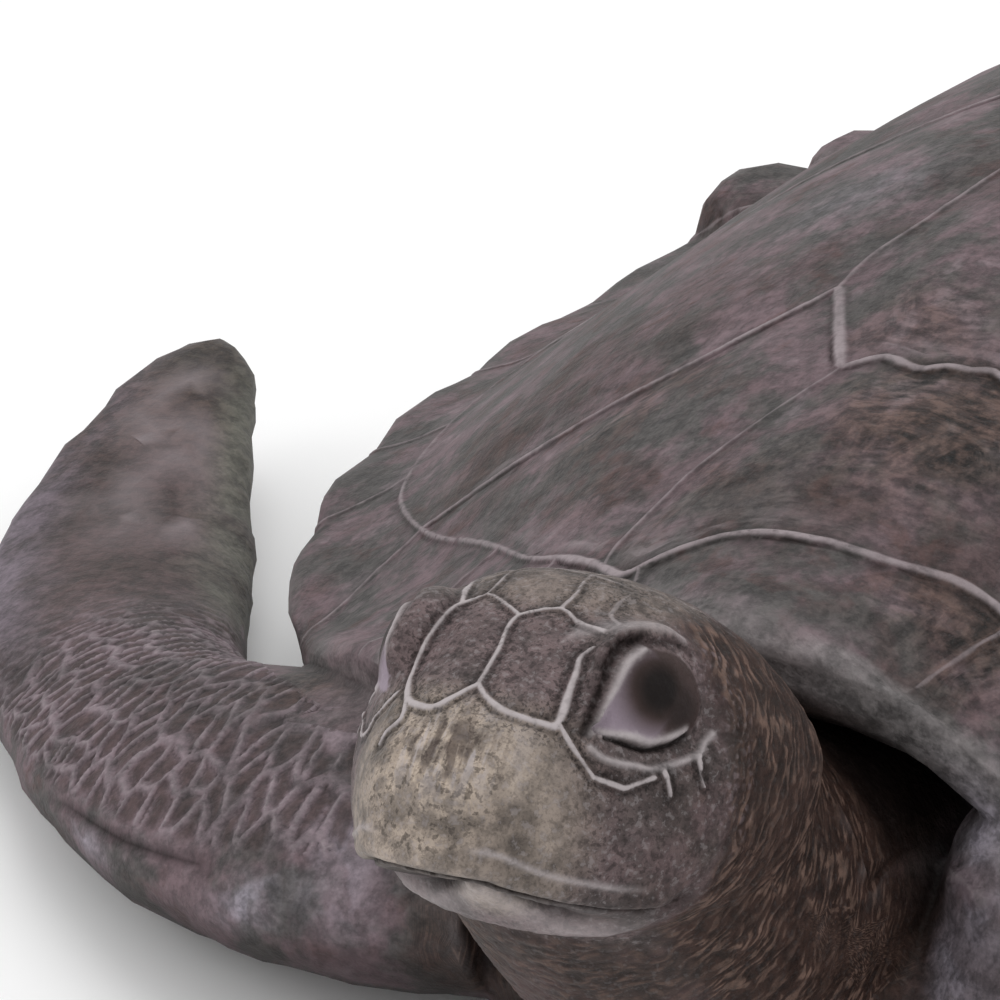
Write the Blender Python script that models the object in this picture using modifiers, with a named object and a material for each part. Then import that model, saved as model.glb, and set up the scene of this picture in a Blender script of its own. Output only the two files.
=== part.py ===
"""Sea turtle statue: one casting of a whole sea turtle that rests on its flat underside.

Metres, +Z up, the head points to -Y and the animal's left side is +X. The origin is the middle of the
flat underside. Forms are worked out as shares of the shell's length, with y running back from the
shell's front edge, and set to metres at the end.
"""

import math

import bmesh
import bpy
import numpy as np

# Driving dimensions, in metres
SHELL_LENGTH = 0.84
SHELL_HALF_WIDTH = 0.354
DOME_HEIGHT = 0.277
FRONT_EDGE_HEIGHT = 0.198
SIDE_EDGE_HEIGHT = 0.075
HEAD_WIDTH = 0.130
SEAM_RIDGE_HEIGHT = 0.0034
SEAM_RIDGE_WIDTH = 0.0100
GRAIN = 0.0035
TRIANGLES = 9600

# Shares of the shell's length
L = SHELL_LENGTH
MIDDLE = 0.5
WIDEST = SHELL_HALF_WIDTH / L
TOP = DOME_HEIGHT / L
FRONT = FRONT_EDGE_HEIGHT / L
SIDE = SIDE_EDGE_HEIGHT / L
HEAD = HEAD_WIDTH / L
HEAD_AT = np.array([-0.010, -0.133, 0.239])
HEAD_YAW, HEAD_PITCH, HEAD_ROLL = 0.0, 21.0, 4.5


def curve(xs, ys):
    """A smooth curve through the points that never overshoots them."""
    xs = np.asarray(xs, float)
    ys = np.asarray(ys, float)
    h = np.diff(xs)
    d = np.diff(ys) / h
    m = np.zeros_like(xs)
    m[0], m[-1] = d[0], d[-1]
    for i in range(1, len(xs) - 1):
        if d[i - 1] * d[i] > 0:
            a = 2 * h[i] + h[i - 1]
            b = h[i] + 2 * h[i - 1]
            m[i] = (a + b) / (a / d[i - 1] + b / d[i])

    def at(x):
        x = np.clip(x, xs[0], xs[-1])
        i = np.clip(np.searchsorted(xs, x) - 1, 0, len(xs) - 2)
        t = (x - xs[i]) / h[i]
        s = t * t * (3 - 2 * t)
        return (1 - s) * ys[i] + s * ys[i + 1] + h[i] * t * (1 - t) * ((1 - t) * m[i] - t * m[i + 1])

    return at


def around(y):
    """How far round the rim a point at y lies, from 0 at the front to 1 at the back."""
    return np.arccos(1 - 2 * np.clip(y, 0, 1)) / math.pi


def step(x, low, high):
    t = np.clip((x - low) / (high - low), 0, 1)
    return t * t * (3 - 2 * t)


RIM_Y = (0, 0.012, 0.03, 0.06, 0.10, 0.15, 0.208, 0.25, 0.3, 0.4, 0.48, 0.56, 0.65, 0.72, 0.8, 0.88, 0.94,
         0.98, 1.0)
RIM_W = (0, 0.237, 0.40, 0.534, 0.653, 0.762, 0.855, 0.905, 0.95, 0.992, 1.0, 0.988, 0.95, 0.895, 0.79, 0.58,
         0.375, 0.205, 0)
rim_width = curve([around(y) for y in RIM_Y], [WIDEST * w for w in RIM_W])
EDGE_Y = (0, 0.004, 0.012, 0.03, 0.06, 0.10, 0.15, 0.22, 0.3, 0.5, 0.60, 0.68, 0.8, 0.9, 1.0)
EDGE_Z = (FRONT, 0.228, 0.200, 0.165, 0.145, 0.115, 0.093, 0.088, 0.088, SIDE, 0.094, 0.110, 0.122, 0.105,
          0.088)
edge_height = curve([around(y) for y in EDGE_Y], EDGE_Z)
ridge_height = curve((0, 0.065, 0.13, 0.2, 0.3, 0.4, 0.5, 0.6, 0.7, 0.8, 0.9, 1.0),
                     (FRONT, 0.250, 0.268, 0.284, 0.306, 0.322, TOP, 0.329, 0.312, 0.270, 0.195, 0.092))
dome_share = curve((0, 0.1, 0.2, 0.3, 0.4, 0.5, 0.6, 0.7, 0.78, 0.86, 0.93, 1),
                   (1, 0.98, 0.925, 0.85, 0.757, 0.65, 0.52, 0.37, 0.245, 0.135, 0.055, 0))
lip_depth = curve((0, 0.25, 0.4, 1), (0.037, 0.032, 0.024, 0.022))
# How far the rear marginal scutes turn up, at the side and at the back
SIDE_FLARE = 0.024
REAR_FLARE = 0.016


def half_width(y):
    return rim_width(around(y))


def dome(x, y):
    """Height of the shell's top at a point in plan."""
    w = np.maximum(half_width(y), 1e-6)
    low = edge_height(around(y))
    return low + (ridge_height(np.clip(y, 0, 1)) - low) * dome_share(np.clip(np.abs(x) / w, 0, 1))


# Seams between the scutes on the right half, in plan, mirrored to the left
PLATES = (
    ((0, 0.056), (-0.045, 0.055), (-0.085, 0.044), (-0.103, 0.055), (-0.129, 0.071), (-0.161, 0.091),
     (-0.213, 0.140), (-0.261, 0.178), (-0.305, 0.221), (-0.335, 0.259), (-0.352, 0.30), (-0.364, 0.35),
     (-0.371, 0.40), (-0.374, 0.47), (-0.369, 0.55), (-0.353, 0.64), (-0.320, 0.72), (-0.268, 0.80),
     (-0.203, 0.87), (-0.13, 0.925), (-0.06, 0.955), (0, 0.960)),
    ((-0.100, 0.053), (-0.102, 0.071), (-0.095, 0.111), (-0.083, 0.138), (-0.068, 0.165), (-0.058, 0.182)),
    ((-0.058, 0.182), (-0.035, 0.183), (-0.014, 0.175), (0, 0.181)),
    ((-0.058, 0.182), (-0.081, 0.225), (-0.098, 0.257)),
    ((-0.098, 0.257), (-0.115, 0.243), (-0.158, 0.219), (-0.214, 0.207), (-0.254, 0.205), (-0.285, 0.200)),
    ((-0.098, 0.257), (-0.096, 0.281), (-0.086, 0.304), (-0.077, 0.328), (-0.055, 0.390)),
    ((-0.055, 0.390), (-0.025, 0.384), (0, 0.390)),
    ((-0.055, 0.390), (-0.110, 0.483), (-0.055, 0.598)),
    ((-0.110, 0.483), (-0.20, 0.468), (-0.29, 0.463), (-0.374, 0.466)),
    ((-0.055, 0.598), (-0.025, 0.592), (0, 0.597)),
    ((-0.055, 0.598), (-0.100, 0.688), (-0.046, 0.775)),
    ((-0.100, 0.688), (-0.18, 0.690), (-0.26, 0.702), (-0.326, 0.708)),
    ((-0.046, 0.775), (0, 0.770)),
    ((-0.046, 0.775), (-0.090, 0.865), (-0.125, 0.927)),
)
RIM_SEAMS = (
    ((-0.079, 0.046), (-0.062, 0.0)),
    ((-0.135, 0.074), (-0.142, 0.0)),
    ((-0.193, 0.119), (-0.206, 0.109), (-0.235, 0.05)),
    ((-0.285, 0.200), (-0.298, 0.181), (-0.307, 0.146), (-0.318, 0.11)),
    ((-0.345, 0.282), (-0.395, 0.250)),
    ((-0.364, 0.350), (-0.42, 0.342)),
    ((-0.374, 0.458), (-0.43, 0.460)),
    ((-0.366, 0.563), (-0.43, 0.569)),
    ((-0.347, 0.655), (-0.42, 0.663)),
    ((-0.311, 0.735), (-0.39, 0.743)),
    ((-0.264, 0.805), (-0.34, 0.808)),
    ((-0.210, 0.863), (-0.27, 0.870)),
    ((-0.146, 0.914), (-0.180, 0.945)),
    ((-0.060, 0.955), (-0.066, 1.0)),
)
# Where the rim seams reach the edge, as y, which sets the notches in it
NOTCHES = (0.005, 0.023, 0.064, 0.145, 0.250, 0.345, 0.460, 0.570, 0.662, 0.742, 0.808, 0.870, 0.935, 0.980,
           1.0)


def near(points, paths):
    """Distance in plan from each point to the nearest of the paths."""
    best = np.full(len(points), 9.0)
    for path in paths:
        for a, b in zip(path[:-1], path[1:]):
            a = np.array(a, float)
            b = np.array(b, float)
            along = b - a
            t = np.clip(((points - a) @ along) / (along @ along), 0, 1)
            best = np.minimum(best, np.hypot(*(points - a - t[:, None] * along).T))
    return best


def rim_lobes(t):
    """Outward swell of each marginal scute: 0 at its seams, 1 at its fullest, a little before its middle."""
    marks = np.array([around(y) for y in NOTCHES])
    i = np.clip(np.searchsorted(marks, t) - 1, 0, len(marks) - 2)
    v = np.clip((t - marks[i]) / (marks[i + 1] - marks[i]), 0, 1)
    v = v ** (1 - 0.15 * step(t, 0.4, 0.8))
    return np.where(t < marks[0], 0.5, (4 * v * (1 - v)) ** 0.6)


def mesh_of(name, points, faces):
    mesh = bpy.data.meshes.new(name)
    mesh.from_pydata([tuple(p) for p in points], [], faces)
    mesh.validate()
    mesh.update()
    obj = bpy.data.objects.new(name, mesh)
    bpy.context.scene.collection.objects.link(obj)
    return obj


def skin(name, rings):
    """A closed body through rings of equal length, with a fan at each end."""
    count = len(rings[0])
    points = np.concatenate([*rings, [np.mean(rings[0], axis=0)], [np.mean(rings[-1], axis=0)]])
    first, last = len(points) - 2, len(points) - 1
    faces = []
    for i in range(len(rings) - 1):
        for j in range(count):
            k = (j + 1) % count
            faces.append((i * count + j, i * count + k, (i + 1) * count + k, (i + 1) * count + j))
    base = (len(rings) - 1) * count
    for j in range(count):
        k = (j + 1) % count
        faces.append((first, k, j))
        faces.append((last, base + j, base + k))
    obj = mesh_of(name, points, faces)
    shape = bmesh.new()
    shape.from_mesh(obj.data)
    bmesh.ops.recalc_face_normals(shape, faces=shape.faces)
    shape.to_mesh(obj.data)
    shape.free()
    return obj


def rim_points(count=220):
    """The edge of the shell in plan, right side from the front to the back, then the left side forward."""
    t = (np.arange(count) + 0.5) / count
    y = 0.5 * (1 - np.cos(math.pi * t))
    swell = 0.0025 + 0.0065 * step(t, around(0.62), 0.75)
    w = rim_width(t) + swell * (rim_lobes(t) - 0.5)
    right = np.stack([-w, y], 1)
    left = right[::-1] * (-1, 1)
    return np.concatenate([right, left]), np.concatenate([t, t[::-1]])


def shell():
    edge, t = rim_points()
    centre = np.array([0, 0.47])
    rise = SIDE_FLARE + (REAR_FLARE - SIDE_FLARE) * step(t, around(0.80), 0.9)
    flare = rise * step(t, around(0.660), around(0.675)) * rim_lobes(t) ** 0.5
    low = edge_height(t) + flare
    lip = lip_depth(t)
    rings = []
    for share in (0.04, 0.12, 0.22, 0.34, 0.46, 0.58, 0.68, 0.76, 0.82, 0.87, 0.91, 0.945, 0.97, 0.988):
        plan = centre + share * (edge - centre)
        top = dome(plan[:, 0], plan[:, 1]) + flare * step(share, 0.8, 1)
        rings.append(np.column_stack([plan, top]))
    for share, down in ((0.999, 0.06), (1.004, 0.22), (1.003, 0.42), (0.996, 0.66), (0.988, 0.86),
                        (0.975, 0.98), (0.95, 1.0), (0.90, 0.96), (0.80, 0.90), (0.6, 0.8), (0.3, 0.6)):
        plan = centre + share * (edge - centre)
        rings.append(np.column_stack([plan, low - lip * down]))
    return skin("shell", rings)


def body():
    """The trunk under the shell, with its plastron carried a little below the ground to be cut flat."""
    wide = curve((0.10, 0.13, 0.2, 0.3, 0.45, 0.6, 0.72, 0.82, 0.9, 0.95),
                 (0, 0.17, 0.25, 0.30, 0.325, 0.31, 0.27, 0.20, 0.11, 0))
    t = (np.arange(90) + 0.5) / 90
    y = 0.10 + 0.85 * 0.5 * (1 - np.cos(math.pi * t))
    right = np.stack([-wide(y), y], 1)
    edge = np.concatenate([right, right[::-1] * (-1, 1)])
    centre = np.array([0, 0.5])
    rings = []
    for share, z in ((0.05, -0.03), (0.5, -0.03), (0.93, -0.03), (0.97, 0.0), (1.0, 0.02), (1.03, 0.045),
                     (1.06, 0.08), (0.9, 0.11), (0.5, 0.13), (0.05, 0.14)):
        rings.append(np.column_stack([centre + share * (edge - centre), np.full(len(edge), z)]))
    return skin("body", rings)


def ball(name, at, radii, turn=None):
    """A stretched sphere; the rows of turn are the directions of its three radii."""
    axes = np.eye(3) if turn is None else turn
    shape = bmesh.new()
    bmesh.ops.create_uvsphere(shape, u_segments=40, v_segments=24, radius=1)
    for v in shape.verts:
        v.co = (np.array(v.co) * radii) @ axes + at
    if np.linalg.det(axes) < 0:
        bmesh.ops.reverse_faces(shape, faces=shape.faces)
    mesh = bpy.data.meshes.new(name)
    shape.to_mesh(mesh)
    shape.free()
    obj = bpy.data.objects.new(name, mesh)
    bpy.context.scene.collection.objects.link(obj)
    return obj


def along(path, count):
    """Points, with their widths and thicknesses, at even spacing down a smoothed path of rows."""
    rows = np.array(path, float)
    reach = np.concatenate([[0], np.cumsum(np.linalg.norm(np.diff(rows[:, :3], axis=0), axis=1))])
    fine = [curve(reach, rows[:, i]) for i in range(rows.shape[1])]
    at = np.linspace(0, reach[-1], count)
    return np.stack([f(at) for f in fine], 1)


def tube(name, path, count=60, segments=48, lead=0.0):
    """A body with oval sections, level across, down a path of rows (x, y, z, half width, half height)."""
    rows = along(path, count)
    spine = rows[:, :3]
    heading = np.gradient(spine, axis=0)
    heading /= np.linalg.norm(heading, axis=1)[:, None]
    angle = np.linspace(0, 2 * math.pi, segments, endpoint=False)
    rings = []
    for at, ahead, (wide, high) in zip(spine, heading, rows[:, 3:5]):
        across = np.cross(ahead, (0, 0, 1))
        across /= np.linalg.norm(across)
        up = np.cross(across, ahead)
        thick = high * np.sin(angle) * (1 + lead * np.cos(angle))
        rings.append(at + np.outer(wide * np.cos(angle), across) + np.outer(thick, up))
    return skin(name, rings)


# Paths of the neck, limbs and tail: x, y, z, half width and half height at each point
NECK = (
    (0.0, 0.20, 0.088, 0.078, 0.078),
    (0.0, 0.12, 0.090, 0.078, 0.082),
    (-0.002, 0.05, 0.098, 0.076, 0.083),
    (-0.004, -0.005, 0.117, 0.073, 0.080),
    (-0.007, -0.055, 0.150, 0.071, 0.074),
    (-0.010, -0.095, 0.188, 0.069, 0.064),
    (-0.010, -0.125, 0.216, 0.062, 0.054),
)
FORE_FLIPPER = (
    (-0.13, 0.055, 0.074, 0.090, 0.068),
    (-0.20, 0.045, 0.063, 0.097, 0.061),
    (-0.267, 0.049, 0.053, 0.084, 0.056),
    (-0.335, 0.068, 0.045, 0.067, 0.050),
    (-0.395, 0.111, 0.040, 0.062, 0.042),
    (-0.454, 0.171, 0.037, 0.071, 0.034),
    (-0.500, 0.245, 0.038, 0.069, 0.026),
    (-0.535, 0.310, 0.046, 0.060, 0.021),
    (-0.560, 0.370, 0.055, 0.049, 0.018),
    (-0.575, 0.415, 0.064, 0.038, 0.015),
    (-0.582, 0.443, 0.069, 0.021, 0.012),
    (-0.583, 0.454, 0.071, 0.009, 0.007),
)
HIND_FLIPPER = (
    (-0.13, 0.78, 0.050, 0.055, 0.045),
    (-0.19, 0.85, 0.042, 0.055, 0.038),
    (-0.240, 0.915, 0.034, 0.060, 0.028),
    (-0.275, 0.975, 0.028, 0.064, 0.021),
    (-0.298, 1.035, 0.025, 0.058, 0.016),
    (-0.308, 1.075, 0.024, 0.040, 0.012),
    (-0.311, 1.095, 0.024, 0.016, 0.008),
)
TAIL = (
    (0, 0.88, 0.045, 0.046, 0.038),
    (0, 0.97, 0.034, 0.036, 0.029),
    (0, 1.03, 0.024, 0.023, 0.019),
    (0, 1.068, 0.018, 0.009, 0.009),
)


def mirrored(path):
    return [(-row[0], *row[1:]) for row in path]


def head_axes():
    yaw, pitch, roll = (math.radians(a) for a in (HEAD_YAW, HEAD_PITCH, HEAD_ROLL))
    ahead = np.array([-math.sin(yaw) * math.cos(pitch), -math.cos(yaw) * math.cos(pitch), math.sin(pitch)])
    left = np.cross((0, 0, 1), ahead)
    left /= np.linalg.norm(left)
    up = np.cross(ahead, left)
    leaned = left * math.cos(roll) + up * math.sin(roll)
    return np.array([ahead, leaned, up * math.cos(roll) - left * math.sin(roll)])


HEAD_TURN = head_axes()
SKULL_X = (-0.74, -0.6, -0.45, -0.2, 0.0, 0.2, 0.33, 0.44, 0.52, 0.58, 0.615, 0.632)
skull_wide = curve(SKULL_X, (0.34, 0.41, 0.465, 0.50, 0.495, 0.435, 0.355, 0.280, 0.222, 0.168, 0.11, 0.04))
skull_top = curve(SKULL_X, (0.12, 0.21, 0.30, 0.405, 0.435, 0.36, 0.278, 0.195, 0.125, 0.055, -0.01, -0.07))
skull_low = curve(SKULL_X, (-0.36, -0.40, -0.42, -0.42, -0.415, -0.40, -0.385, -0.365, -0.34, -0.305, -0.25,
                            -0.18))
skull_mid = curve(SKULL_X, (0.0, -0.02, -0.04, -0.06, -0.07, -0.09, -0.10, -0.11, -0.12, -0.12, -0.12, -0.12))
EYE_AT = np.array([0.225, 0.320, 0.185])
mouth_line = curve((0.02, 0.15, 0.25, 0.35, 0.45, 0.53, 0.575, 0.62),
                   (-0.277, -0.292, -0.297, -0.288, -0.272, -0.256, -0.243, -0.240))


def skull():
    angle = np.linspace(0, 2 * math.pi, 96, endpoint=False)
    c, s = np.cos(angle), np.sin(angle)
    rings = []
    for x in np.concatenate([np.linspace(-0.74, 0.5, 34), np.linspace(0.52, 0.632, 14)]):
        mid = skull_mid(x)
        reach = np.where(s > 0, skull_top(x) - mid, mid - skull_low(x))
        y = skull_wide(x) * np.sign(c) * np.abs(c) ** 0.86
        z = mid + reach * np.sign(s) * np.abs(s) ** 0.9
        rings.append(HEAD_AT + HEAD * (np.column_stack([np.full(len(angle), x), y, z]) @ HEAD_TURN))
    return skin("skull", rings)


def head_ball(name, at, radii):
    """A ball placed in the head's own axes, sized as shares of its width."""
    return ball(name, HEAD_AT + HEAD * (np.array(at) @ HEAD_TURN), HEAD * np.array(radii), HEAD_TURN)


def forms():
    made = [shell(), body(), skull()]
    made.append(ball("chest", (0, 0.075, 0.055), (0.165, 0.125, 0.080)))
    made.append(ball("nape", (0, 0.25, 0.13), (0.20, 0.17, 0.10)))
    made.append(tube("neck", NECK))
    made.append(tube("tail", TAIL))
    for side, turned in ((-1, list), (1, mirrored)):
        made.append(ball("shoulder", (0.160 * side, 0.098, 0.086), (0.085, 0.078, 0.058)))
        made.append(tube("fore_flipper", turned(FORE_FLIPPER), lead=-0.28 * side))
        made.append(tube("hind_flipper", turned(HIND_FLIPPER), lead=-0.2 * side))
        made.append(head_ball("brow", (0.17, -side * 0.265, 0.205), (0.19, 0.130, 0.155)))
    return made


def evaluated(obj):
    graph = bpy.context.evaluated_depsgraph_get()
    mesh = bpy.data.meshes.new_from_object(obj.evaluated_get(graph))
    obj.modifiers.clear()
    old = obj.data
    obj.data = mesh
    bpy.data.meshes.remove(old)


def joined(objects, name):
    points = []
    faces = []
    for obj in objects:
        base = len(points)
        points.extend(tuple(v.co * L) for v in obj.data.vertices)
        faces.extend(tuple(base + i for i in p.vertices) for p in obj.data.polygons)
        bpy.data.objects.remove(obj)
    return mesh_of(name, points, faces)


def coords(mesh):
    values = np.empty(len(mesh.vertices) * 3)
    mesh.vertices.foreach_get("co", values)
    return values.reshape(-1, 3)


def normals(mesh):
    values = np.empty(len(mesh.vertices) * 3)
    mesh.vertices.foreach_get("normal", values)
    return values.reshape(-1, 3)


def put(mesh, values):
    mesh.vertices.foreach_set("co", values.ravel())
    mesh.update()


def in_head(points):
    """Points in the head's own axes, as shares of its width: ahead, left and up."""
    return (points - HEAD_AT) @ HEAD_TURN.T / HEAD


def shell_relief(p, n):
    """Height to add along the normal on the shell's top, as a share of the shell's length."""
    plan = np.column_stack([-np.abs(p[:, 0]), p[:, 1]])
    on_top = step(p[:, 2] - dome(p[:, 0], p[:, 1]), -0.016, -0.006) * step(n[:, 2], 0.0, 0.2)
    on_top = on_top * (np.abs(p[:, 0]) < half_width(p[:, 1]) + 0.02) * (p[:, 1] > -0.01) * (p[:, 1] < 1.02)
    on_top = on_top * (in_head(p)[:, 0] < -0.9)
    away = near(plan, PLATES + RIM_SEAMS)
    ridge = SEAM_RIDGE_HEIGHT / L * np.exp(-((away / (0.5 * SEAM_RIDGE_WIDTH / L)) ** 2))
    swell = 0.0035 * step(away, 0.004, 0.045)
    return on_top * (ridge + swell)


def head_relief(p):
    """Mouth, lower jaw, beak edge, eyes and lids, as a share of the shell's length."""
    q = in_head(p)
    x, y, z = q.T
    inside = (x > -0.75) * (np.abs(y) < 0.7) * (np.abs(z) < 0.75)
    line = mouth_line(x)
    below = line - z
    cut = step(x, 0.10, 0.18)
    amount = -0.030 * cut * np.exp(-((below / 0.022) ** 2))
    amount = amount - 0.030 * step(x, 0.1, 0.6) * step(below, 0.0, 0.03)
    amount = amount + 0.012 * cut * np.exp(-(((below + 0.06) / 0.03) ** 2))
    eye = np.stack([x - EYE_AT[0], np.abs(y) - EYE_AT[1], z - EYE_AT[2]], 1)
    reach = np.hypot(eye[:, 0], eye[:, 2] * 1.05)
    facing = (np.abs(y) > 0.2) * step(0.22 - reach, 0, 0.03)
    socket = -0.030 * np.exp(-(((reach - 0.120) / 0.028) ** 2))
    socket = socket + 0.016 * np.exp(-(((reach - 0.172) / 0.030) ** 2))
    amount = amount + facing * socket
    return inside * amount * HEAD


def ground_cutter():
    """A block whose top is the ground, wider than the turtle every way."""
    bpy.ops.mesh.primitive_cube_add(size=1, location=(0, 0, -0.25 * L))
    cutter = bpy.context.object
    cutter.name = "ground_cutter"
    cutter.scale = (3 * L, 3 * L, 0.5 * L)
    cutter.hide_render = True
    cutter.display_type = "WIRE"
    move_to(cutter, "cutters")
    return cutter


def move_to(obj, name):
    group = bpy.data.collections.get(name)
    if group is None:
        group = bpy.data.collections.new(name)
        bpy.context.scene.collection.children.link(group)
    for other in list(obj.users_collection):
        other.objects.unlink(obj)
    group.objects.link(obj)


def bronze():
    made = bpy.data.materials.new("bronze")
    made.use_nodes = True
    shader = made.node_tree.nodes["Principled BSDF"]
    shader.inputs["Base Color"].default_value = (0.13, 0.11, 0.11, 1)
    shader.inputs["Metallic"].default_value = 0.35
    shader.inputs["Roughness"].default_value = 0.6
    return made


def build():
    for obj in list(bpy.data.objects):
        bpy.data.objects.remove(obj)
    turtle = joined(forms(), "sea_turtle")
    fuse = turtle.modifiers.new("fuse", "REMESH")
    fuse.mode = "VOXEL"
    fuse.voxel_size = GRAIN
    evaluated(turtle)
    ease = turtle.modifiers.new("ease", "SMOOTH")
    ease.factor = 0.5
    ease.iterations = 6
    evaluated(turtle)
    p = coords(turtle.data) / L
    n = normals(turtle.data)
    lift = shell_relief(p, n) + head_relief(p)
    p = p + lift[:, None] * n
    p[:, 1] -= MIDDLE
    put(turtle.data, p * L)
    keep = turtle.vertex_groups.new(name="keep")
    detail = 0.25 * step(np.abs(lift), 0.0004, 0.0012) + 0.75 * (in_head(p + (0, MIDDLE, 0))[:, 0] > -0.7)
    for level in range(5):
        chosen = np.nonzero(np.round(np.clip(detail, 0, 1) * 4) == level)[0]
        keep.add(chosen.tolist(), 1 - 0.2 * level, "REPLACE")
    thin = turtle.modifiers.new("thin", "DECIMATE")
    thin.vertex_group = "keep"
    thin.vertex_group_factor = 0.04
    thin.ratio = TRIANGLES / (2 * len(turtle.data.polygons))
    evaluated(turtle)
    cutter = ground_cutter()
    flat = turtle.modifiers.new("flat", "BOOLEAN")
    flat.operation = "DIFFERENCE"
    flat.solver = "EXACT"
    flat.object = cutter
    turtle.data.materials.clear()
    turtle.data.materials.append(bronze())
    move_to(turtle, "sea_turtle_statue")


build()
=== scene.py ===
"""Looks of the sea turtle statue: the casting at fine grain, its patina, the floor, light and camera.

Forms are worked out as shares of the shell's length, with y running back from the shell's front edge,
as the solid's are, and set to metres at the end.
"""

import math

import bmesh
import bpy
import numpy as np
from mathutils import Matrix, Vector
from mathutils.kdtree import KDTree


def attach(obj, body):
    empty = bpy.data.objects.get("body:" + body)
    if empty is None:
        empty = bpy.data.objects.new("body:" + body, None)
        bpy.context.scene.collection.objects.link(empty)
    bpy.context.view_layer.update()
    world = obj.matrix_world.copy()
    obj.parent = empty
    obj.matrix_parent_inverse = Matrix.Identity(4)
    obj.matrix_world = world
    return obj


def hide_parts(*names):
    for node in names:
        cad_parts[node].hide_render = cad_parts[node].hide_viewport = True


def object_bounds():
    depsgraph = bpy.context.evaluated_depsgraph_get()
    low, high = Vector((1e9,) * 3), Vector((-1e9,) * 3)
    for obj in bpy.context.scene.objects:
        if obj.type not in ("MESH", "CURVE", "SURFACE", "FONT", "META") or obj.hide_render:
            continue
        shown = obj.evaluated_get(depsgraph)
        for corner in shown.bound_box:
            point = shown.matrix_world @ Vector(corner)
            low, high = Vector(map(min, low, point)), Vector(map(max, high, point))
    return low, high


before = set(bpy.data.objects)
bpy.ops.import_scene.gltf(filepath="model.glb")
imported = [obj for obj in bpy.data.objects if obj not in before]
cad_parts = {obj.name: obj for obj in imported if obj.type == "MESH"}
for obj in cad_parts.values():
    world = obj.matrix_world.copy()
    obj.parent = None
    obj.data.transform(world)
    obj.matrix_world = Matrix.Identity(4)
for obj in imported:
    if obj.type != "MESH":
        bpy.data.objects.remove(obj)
cad_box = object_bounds()

# Driving dimensions, in metres
SHELL_LENGTH = 0.84
SHELL_HALF_WIDTH = 0.354
DOME_HEIGHT = 0.277
FRONT_EDGE_HEIGHT = 0.198
SIDE_EDGE_HEIGHT = 0.075
HEAD_WIDTH = 0.130

# Grain of the fused skin, how far inside the solid's box it stays, and the triangles it ends with
GRAIN = 0.0019
BOX_MARGIN = 0.0003
TRIANGLES = 196000

# Shares of the shell's length
L = SHELL_LENGTH
MM = 0.001 / L
MIDDLE = 0.5
WIDEST = SHELL_HALF_WIDTH / L
TOP = DOME_HEIGHT / L
FRONT = FRONT_EDGE_HEIGHT / L
SIDE = SIDE_EDGE_HEIGHT / L
HEAD = HEAD_WIDTH / L
HEAD_AT = np.array([-0.010, -0.133, 0.239])
HEAD_YAW, HEAD_PITCH, HEAD_ROLL = 0.0, 21.0, 4.5
# The place in plan that the shell's rings close in on
PLAN_CENTRE = np.array([0, 0.47])
# Points this near to a seam are moved on to it, and the grain is halved as far from it as this
SNAP = 0.24 * GRAIN / L
FINE_BESIDE_SEAM = 5.0 * MM
# A distance that stands for none
FAR = 9.0


def curve(xs, ys):
    """A smooth curve through the points that never overshoots them."""
    xs = np.asarray(xs, float)
    ys = np.asarray(ys, float)
    h = np.diff(xs)
    d = np.diff(ys) / h
    m = np.concatenate([d[:1], np.zeros(len(d) - 1), d[-1:]])
    for i in range(1, len(d)):
        if d[i - 1] * d[i] > 0:
            a = 2 * h[i] + h[i - 1]
            b = h[i] + 2 * h[i - 1]
            m[i] = (a + b) / (a / d[i - 1] + b / d[i])

    def at(x):
        x = np.clip(x, xs[0], xs[-1])
        i = np.clip(np.searchsorted(xs, x) - 1, 0, len(xs) - 2)
        t = (x - xs[i]) / h[i]
        s = t * t * (3 - 2 * t)
        return (1 - s) * ys[i] + s * ys[i + 1] + h[i] * t * (1 - t) * ((1 - t) * m[i] - t * m[i + 1])

    return at


def around(y):
    """How far round the rim a point at y lies, from 0 at the front to 1 at the back."""
    return np.arccos(1 - 2 * np.clip(y, 0, 1)) / math.pi


def step(x, low, high):
    t = np.clip((x - low) / (high - low), 0, 1)
    return t * t * (3 - 2 * t)


def bump(x, width):
    """A rounded hill, 1 at x = 0, that has faded by twice the width."""
    return np.exp(-((x / width) ** 2))


def dots(a, b):
    return np.einsum("ij,ij->i", a, b)


RIM_Y = (0, 0.012, 0.03, 0.06, 0.10, 0.15, 0.208, 0.25, 0.3, 0.4, 0.48, 0.56, 0.65, 0.72, 0.8, 0.88, 0.94,
         0.98, 1.0)
RIM_W = (0, 0.237, 0.40, 0.534, 0.653, 0.762, 0.855, 0.905, 0.95, 0.992, 1.0, 0.988, 0.95, 0.895, 0.79, 0.58,
         0.375, 0.205, 0)
rim_width = curve([around(y) for y in RIM_Y], [WIDEST * w for w in RIM_W])
EDGE_Y = (0, 0.004, 0.012, 0.03, 0.06, 0.10, 0.15, 0.22, 0.3, 0.5, 0.60, 0.68, 0.8, 0.9, 1.0)
EDGE_Z = (FRONT, 0.228, 0.200, 0.165, 0.145, 0.115, 0.093, 0.088, 0.088, SIDE, 0.094, 0.110, 0.122, 0.105,
          0.088)
edge_height = curve([around(y) for y in EDGE_Y], EDGE_Z)
ridge_height = curve((0, 0.065, 0.13, 0.2, 0.3, 0.4, 0.5, 0.6, 0.7, 0.8, 0.9, 1.0),
                     (FRONT, 0.250, 0.268, 0.284, 0.306, 0.322, TOP, 0.329, 0.312, 0.270, 0.195, 0.092))
dome_share = curve((0, 0.1, 0.2, 0.3, 0.4, 0.5, 0.6, 0.7, 0.78, 0.86, 0.93, 1),
                   (1, 0.98, 0.925, 0.85, 0.757, 0.65, 0.52, 0.37, 0.245, 0.135, 0.055, 0))
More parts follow.
